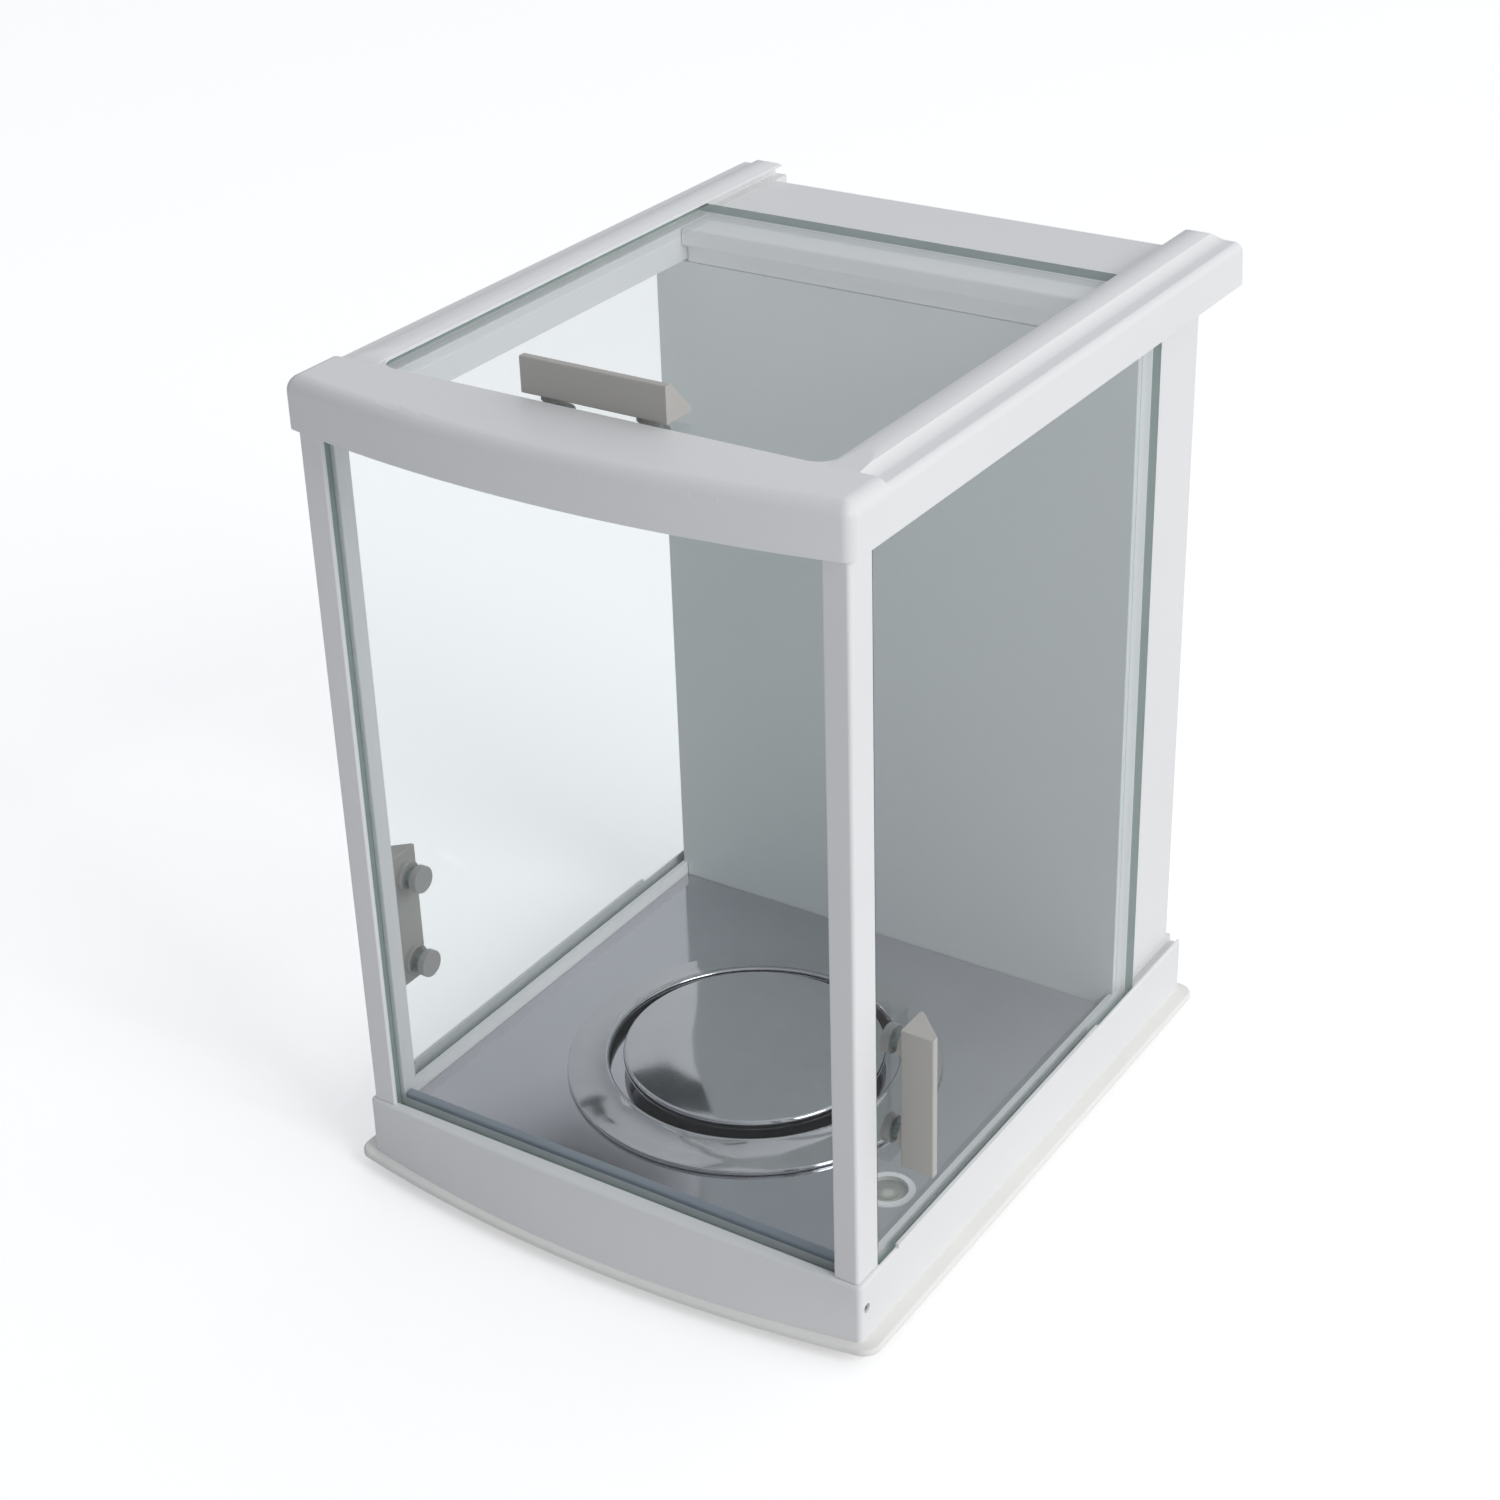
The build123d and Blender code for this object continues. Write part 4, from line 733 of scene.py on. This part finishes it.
# ------------------------------------------------------------------ weighing cell
# Inside the tower a machined aluminium frame carries a lever on a pivot. The pan's arm hangs from its
# short end, and a copper coil on its long end sits in the gap of a round magnet, watched by a sensor.
# Milled aluminium: pale grey with fine cutter marks.
milled_aluminium = worked_metal("milled_aluminium", ("#C3C5C8", "#D0D2D4"), 0.3, (0.8, 6.0, 0.8), depth=0.02)
# Rolled spring steel: darker and smoother, with the rolling lines along its length.
rolled_spring_steel = worked_metal("rolled_spring_steel", ("#A4A7AB", "#B4B7BA"), 0.22, (0.8, 14.0, 0.8))
# Turned soft iron under clear lacquer: dark grey, with rings from the lathe.
lacquered_iron = worked_metal("lacquered_iron", ("#4C4E52", "#5C5E62"), 0.3, (1.2, 1.2, 0.5), depth=0.03)
# Glass-filled black PBT: matte, a little lighter where it is rubbed.
black_pbt = moulded("black_pbt", ("#1E1E20", "#2A2A2C"), 0.5, grain=0.9, depth=0.08)
finish_nodes(milled_aluminium, "weigh_arm", "hanger", "lever", "cell_frame", "magnet_bracket", "pan_cone")
finish_nodes(rolled_spring_steel, "upper_guide", "lower_guide", "link_strip", "pivot_pin")
finish_nodes(lacquered_iron, "magnet_pot")
finish_nodes(black_pbt, "position_sensor", "dc_socket", "data_socket", "board_parts")

# Enamelled copper wire wound in level turns: 0.25 mm wire, drawn as 0.8 mm turns so that they show.
wire_turn = 0.8
enamelled_copper, copper_tree, copper_shader = new_material(
    "enamelled_copper", Base_Color=linear("#B8683A"), Metallic=1.0, Roughness=0.28, Coat_Weight=0.5
)
copper_place = add_node(copper_tree, "ShaderNodeTexCoord").outputs["Object"]
turns = add_node(
    copper_tree,
    "ShaderNodeTexWave",
    {"bands_direction": "Z", "wave_profile": "SIN", "Scale": 0.314 / (wire_turn * MM)},
    Vector=copper_place,
)
turn_bump = add_node(
    copper_tree, "ShaderNodeBump", {"Strength": 0.8, "Distance": 0.2 * MM}, Height=turns.outputs["Fac"]
)
copper_tree.links.new(copper_shader.inputs["Normal"], turn_bump.outputs["Normal"])
finish_nodes(enamelled_copper, "coil")

# ------------------------------------------------------------------ electronics
# A green circuit board on four plated pillars behind the back panel, with chips and two capacitors,
# and the power and data sockets that show in the panel's holes.
solder_mask, mask_tree, mask_shader = new_material("green_solder_mask", Roughness=0.3)
mask_place = add_node(mask_tree, "ShaderNodeTexCoord").outputs["Object"]
track_spacing = 2.5
tracks = add_node(
    mask_tree,
    "ShaderNodeTexBrick",
    {"Scale": 1 / (track_spacing * MM), "Mortar Size": 0.03, 1: linear("#1F6A3E"), 2: linear("#1A5C35")},
    Vector=mask_place,
)
tracks.inputs["Mortar"].default_value = linear("#2F7D4D")
mask_tree.links.new(mask_shader.inputs["Base Color"], tracks.outputs["Color"])
finish_nodes(solder_mask, "main_board")
# Nickel plating: a warm, bright metal.
nickel_plate = worked_metal("nickel_plate", ("#BDBAB2", "#CAC7C0"), 0.2, (0.8, 4.0, 0.8))
finish_nodes(nickel_plate, "board_standoffs")

# ------------------------------------------------------------------ draft ring
# A thin ring pressed from polished stainless steel lies on the floor round the pan. It rises in a
# shallow cone to a rolled lip, and pressing has left it gently wavy, so reflections break up in it.


def polished_steel(name, shades, roughness, wave, depth):
    """Polished stainless: nearly a mirror, faintly hazy, with waves of the given length and depth in mm."""
    material, tree, shader = new_material(name, Metallic=1.0)
    place = add_node(tree, "ShaderNodeTexCoord").outputs["Object"]
    waves = add_node(tree, "ShaderNodeTexNoise", {"Scale": 1 / (wave * MM), "Detail": 1.0}, Vector=place)
    haze = add_node(tree, "ShaderNodeTexNoise", {"Scale": 1 / (9 * MM), "Detail": 4.0}, Vector=place)
    shade = {"data_type": "RGBA", 6: linear(shades[0]), 7: linear(shades[1])}
    tone = add_node(tree, "ShaderNodeMix", shade, Factor=haze.outputs["Fac"])
    gloss_range = {"To Min": roughness * 0.6, "To Max": roughness * 1.4}
    gloss = add_node(tree, "ShaderNodeMapRange", gloss_range, Value=haze.outputs["Fac"])
    relief = {"Strength": 1.0, "Distance": depth * MM}
    bump = add_node(tree, "ShaderNodeBump", relief, Height=waves.outputs["Fac"])
    tree.links.new(shader.inputs["Base Color"], tone.outputs[2])
    tree.links.new(shader.inputs["Roughness"], gloss.outputs["Result"])
    tree.links.new(shader.inputs["Normal"], bump.outputs["Normal"])
    return material


ring_low, ring_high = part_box("draft_ring")
ring_outer = (ring_high.x - ring_low.x) / 2
ring_inner = ring_outer - 14.5 * MM
ring_sheet = 0.9 * MM
ring_foot = ring_low.z
ring_top = ring_high.z
ring_axis = Vector((chamber_middle.x, chamber_middle.y, 0))
edge_height = 1.5 * MM
slope_foot = (ring_inner + 5.0 * MM, ring_foot + 2.6 * MM)
lip_radius = 0.9 * MM
ring_outline = [(ring_outer, ring_foot)]
ring_outline += arc((ring_outer - 0.6 * MM, ring_foot + edge_height - 0.6 * MM), 0.6 * MM, 0, 80)
ring_outline += [(ring_outer - 5.0 * MM, ring_foot + 1.75 * MM), slope_foot]
ring_outline += [(ring_inner + 3.4 * MM, ring_foot + 3.15 * MM)]
ring_outline += arc((ring_inner + lip_radius, ring_top - lip_radius), lip_radius, 50, 180, 8)
ring_outline += [(ring_inner, ring_foot + 2.5 * MM), (ring_inner + 0.5 * MM, ring_foot + 2.5 * MM)]
ring_outline += [(slope_foot[0], slope_foot[1] - ring_sheet), (ring_outer - ring_sheet, ring_foot + 0.5 * MM)]
ring_outline += [(ring_outer - ring_sheet, ring_foot)]
pressed_stainless = polished_steel("pressed_stainless", ("#C6C6C8", "#D2D2D4"), 0.1, 16.0, 0.35)
pressed_ring = lathe("pressed_draft_ring", ring_outline, ring_axis, 192)
place_piece(pressed_ring, "draft_ring", pressed_stainless, ("draft_ring",))

# ------------------------------------------------------------------ weighing pan
# A round plate of mirror-polished stainless steel, 90 mm across, with a rolled-down rim and a hub below
# that drops on the cone of the weighing arm. It lifts off by hand.
pan_radius = (pan_high.x - pan_low.x) / 2
pan_round = 1.2 * MM
rim_wall = 1.2 * MM
hub_radius = 7.0 * MM
bore_radius = 3.55 * MM
plate_under_side = pan_high.z - 1.6 * MM
bore_top = pan_high.z - 1.9 * MM
pan_outline = [(0, pan_high.z), (pan_radius * 0.5, pan_high.z)]
pan_outline += arc((pan_radius - pan_round, pan_high.z - pan_round), pan_round, 90, 0)
pan_outline += arc((pan_radius - 0.3 * MM, pan_high.z - 2.7 * MM), 0.3 * MM, 0, -90, 3)
pan_outline += [(pan_radius - rim_wall, pan_high.z - 3.0 * MM), (pan_radius - rim_wall, plate_under_side)]
pan_outline += [(hub_radius, plate_under_side), (hub_radius, pan_low.z), (bore_radius, pan_low.z)]
pan_outline += [(bore_radius, bore_top), (0, bore_top)]
mirror_stainless = polished_steel("mirror_stainless", ("#CDCDD0", "#D8D8DA"), 0.07, 60.0, 0.06)
pan_piece = lathe("polished_pan", pan_outline, ring_axis, 192)
crisp = pan_piece.modifiers.new("crisp_rim", "EDGE_SPLIT")
crisp.split_angle = math.radians(35)
place_piece(pan_piece, "pan", mirror_stainless, ("weighing_pan",))

# ------------------------------------------------------------------ doors
# Two side doors and the top door, each one pane of 3 mm float glass that slides to the rear. Each has
# a wedge-shaped grip of grey ABS on two round feet, whose studs pass through the glass to flat nuts.
# Warm grey ABS with a fine texture; the slanted face and the ends catch the light.
warm_grey_abs = moulded("warm_grey_abs", ("#B8B5B0", "#C0BDB8"), 0.5, grain=0.8, depth=0.06)
# The nuts are turned from the same grey plastic, a little cooler and smoother.
grey_nut_plastic = moulded("grey_nut_plastic", ("#A3A2A0", "#ADACAA"), 0.4, grain=0.8, depth=0.03)
grip_edge = 0.35
nut_edge = 0.45
for side, thin_axis in (("left", 0), ("right", 0), ("top", 2)):
    body = f"{side}_door"
    glass_pane(f"{body}_glass", f"{body}_pane", body, thin_axis)
    grip = rounded_copy(f"{body}_handle", f"{body}_grip", grip_edge)
    place_piece(grip, body, warm_grey_abs, (f"{body}_handle",))
    nuts = rounded_copy(f"{body}_nuts", f"{body}_thumb_nuts", nut_edge)
    place_piece(nuts, body, grey_nut_plastic, (f"{body}_nuts",))

# ------------------------------------------------------------------ vial window
# The acrylic window over the vial lies last, flush with the cup's rim.
# Clear acrylic, softer and a little greener than the panes.
clear_acrylic = clear_pane("clear_acrylic", "#FAFBF9", 0.8)
finish_nodes(clear_acrylic, "level_vial_lens")
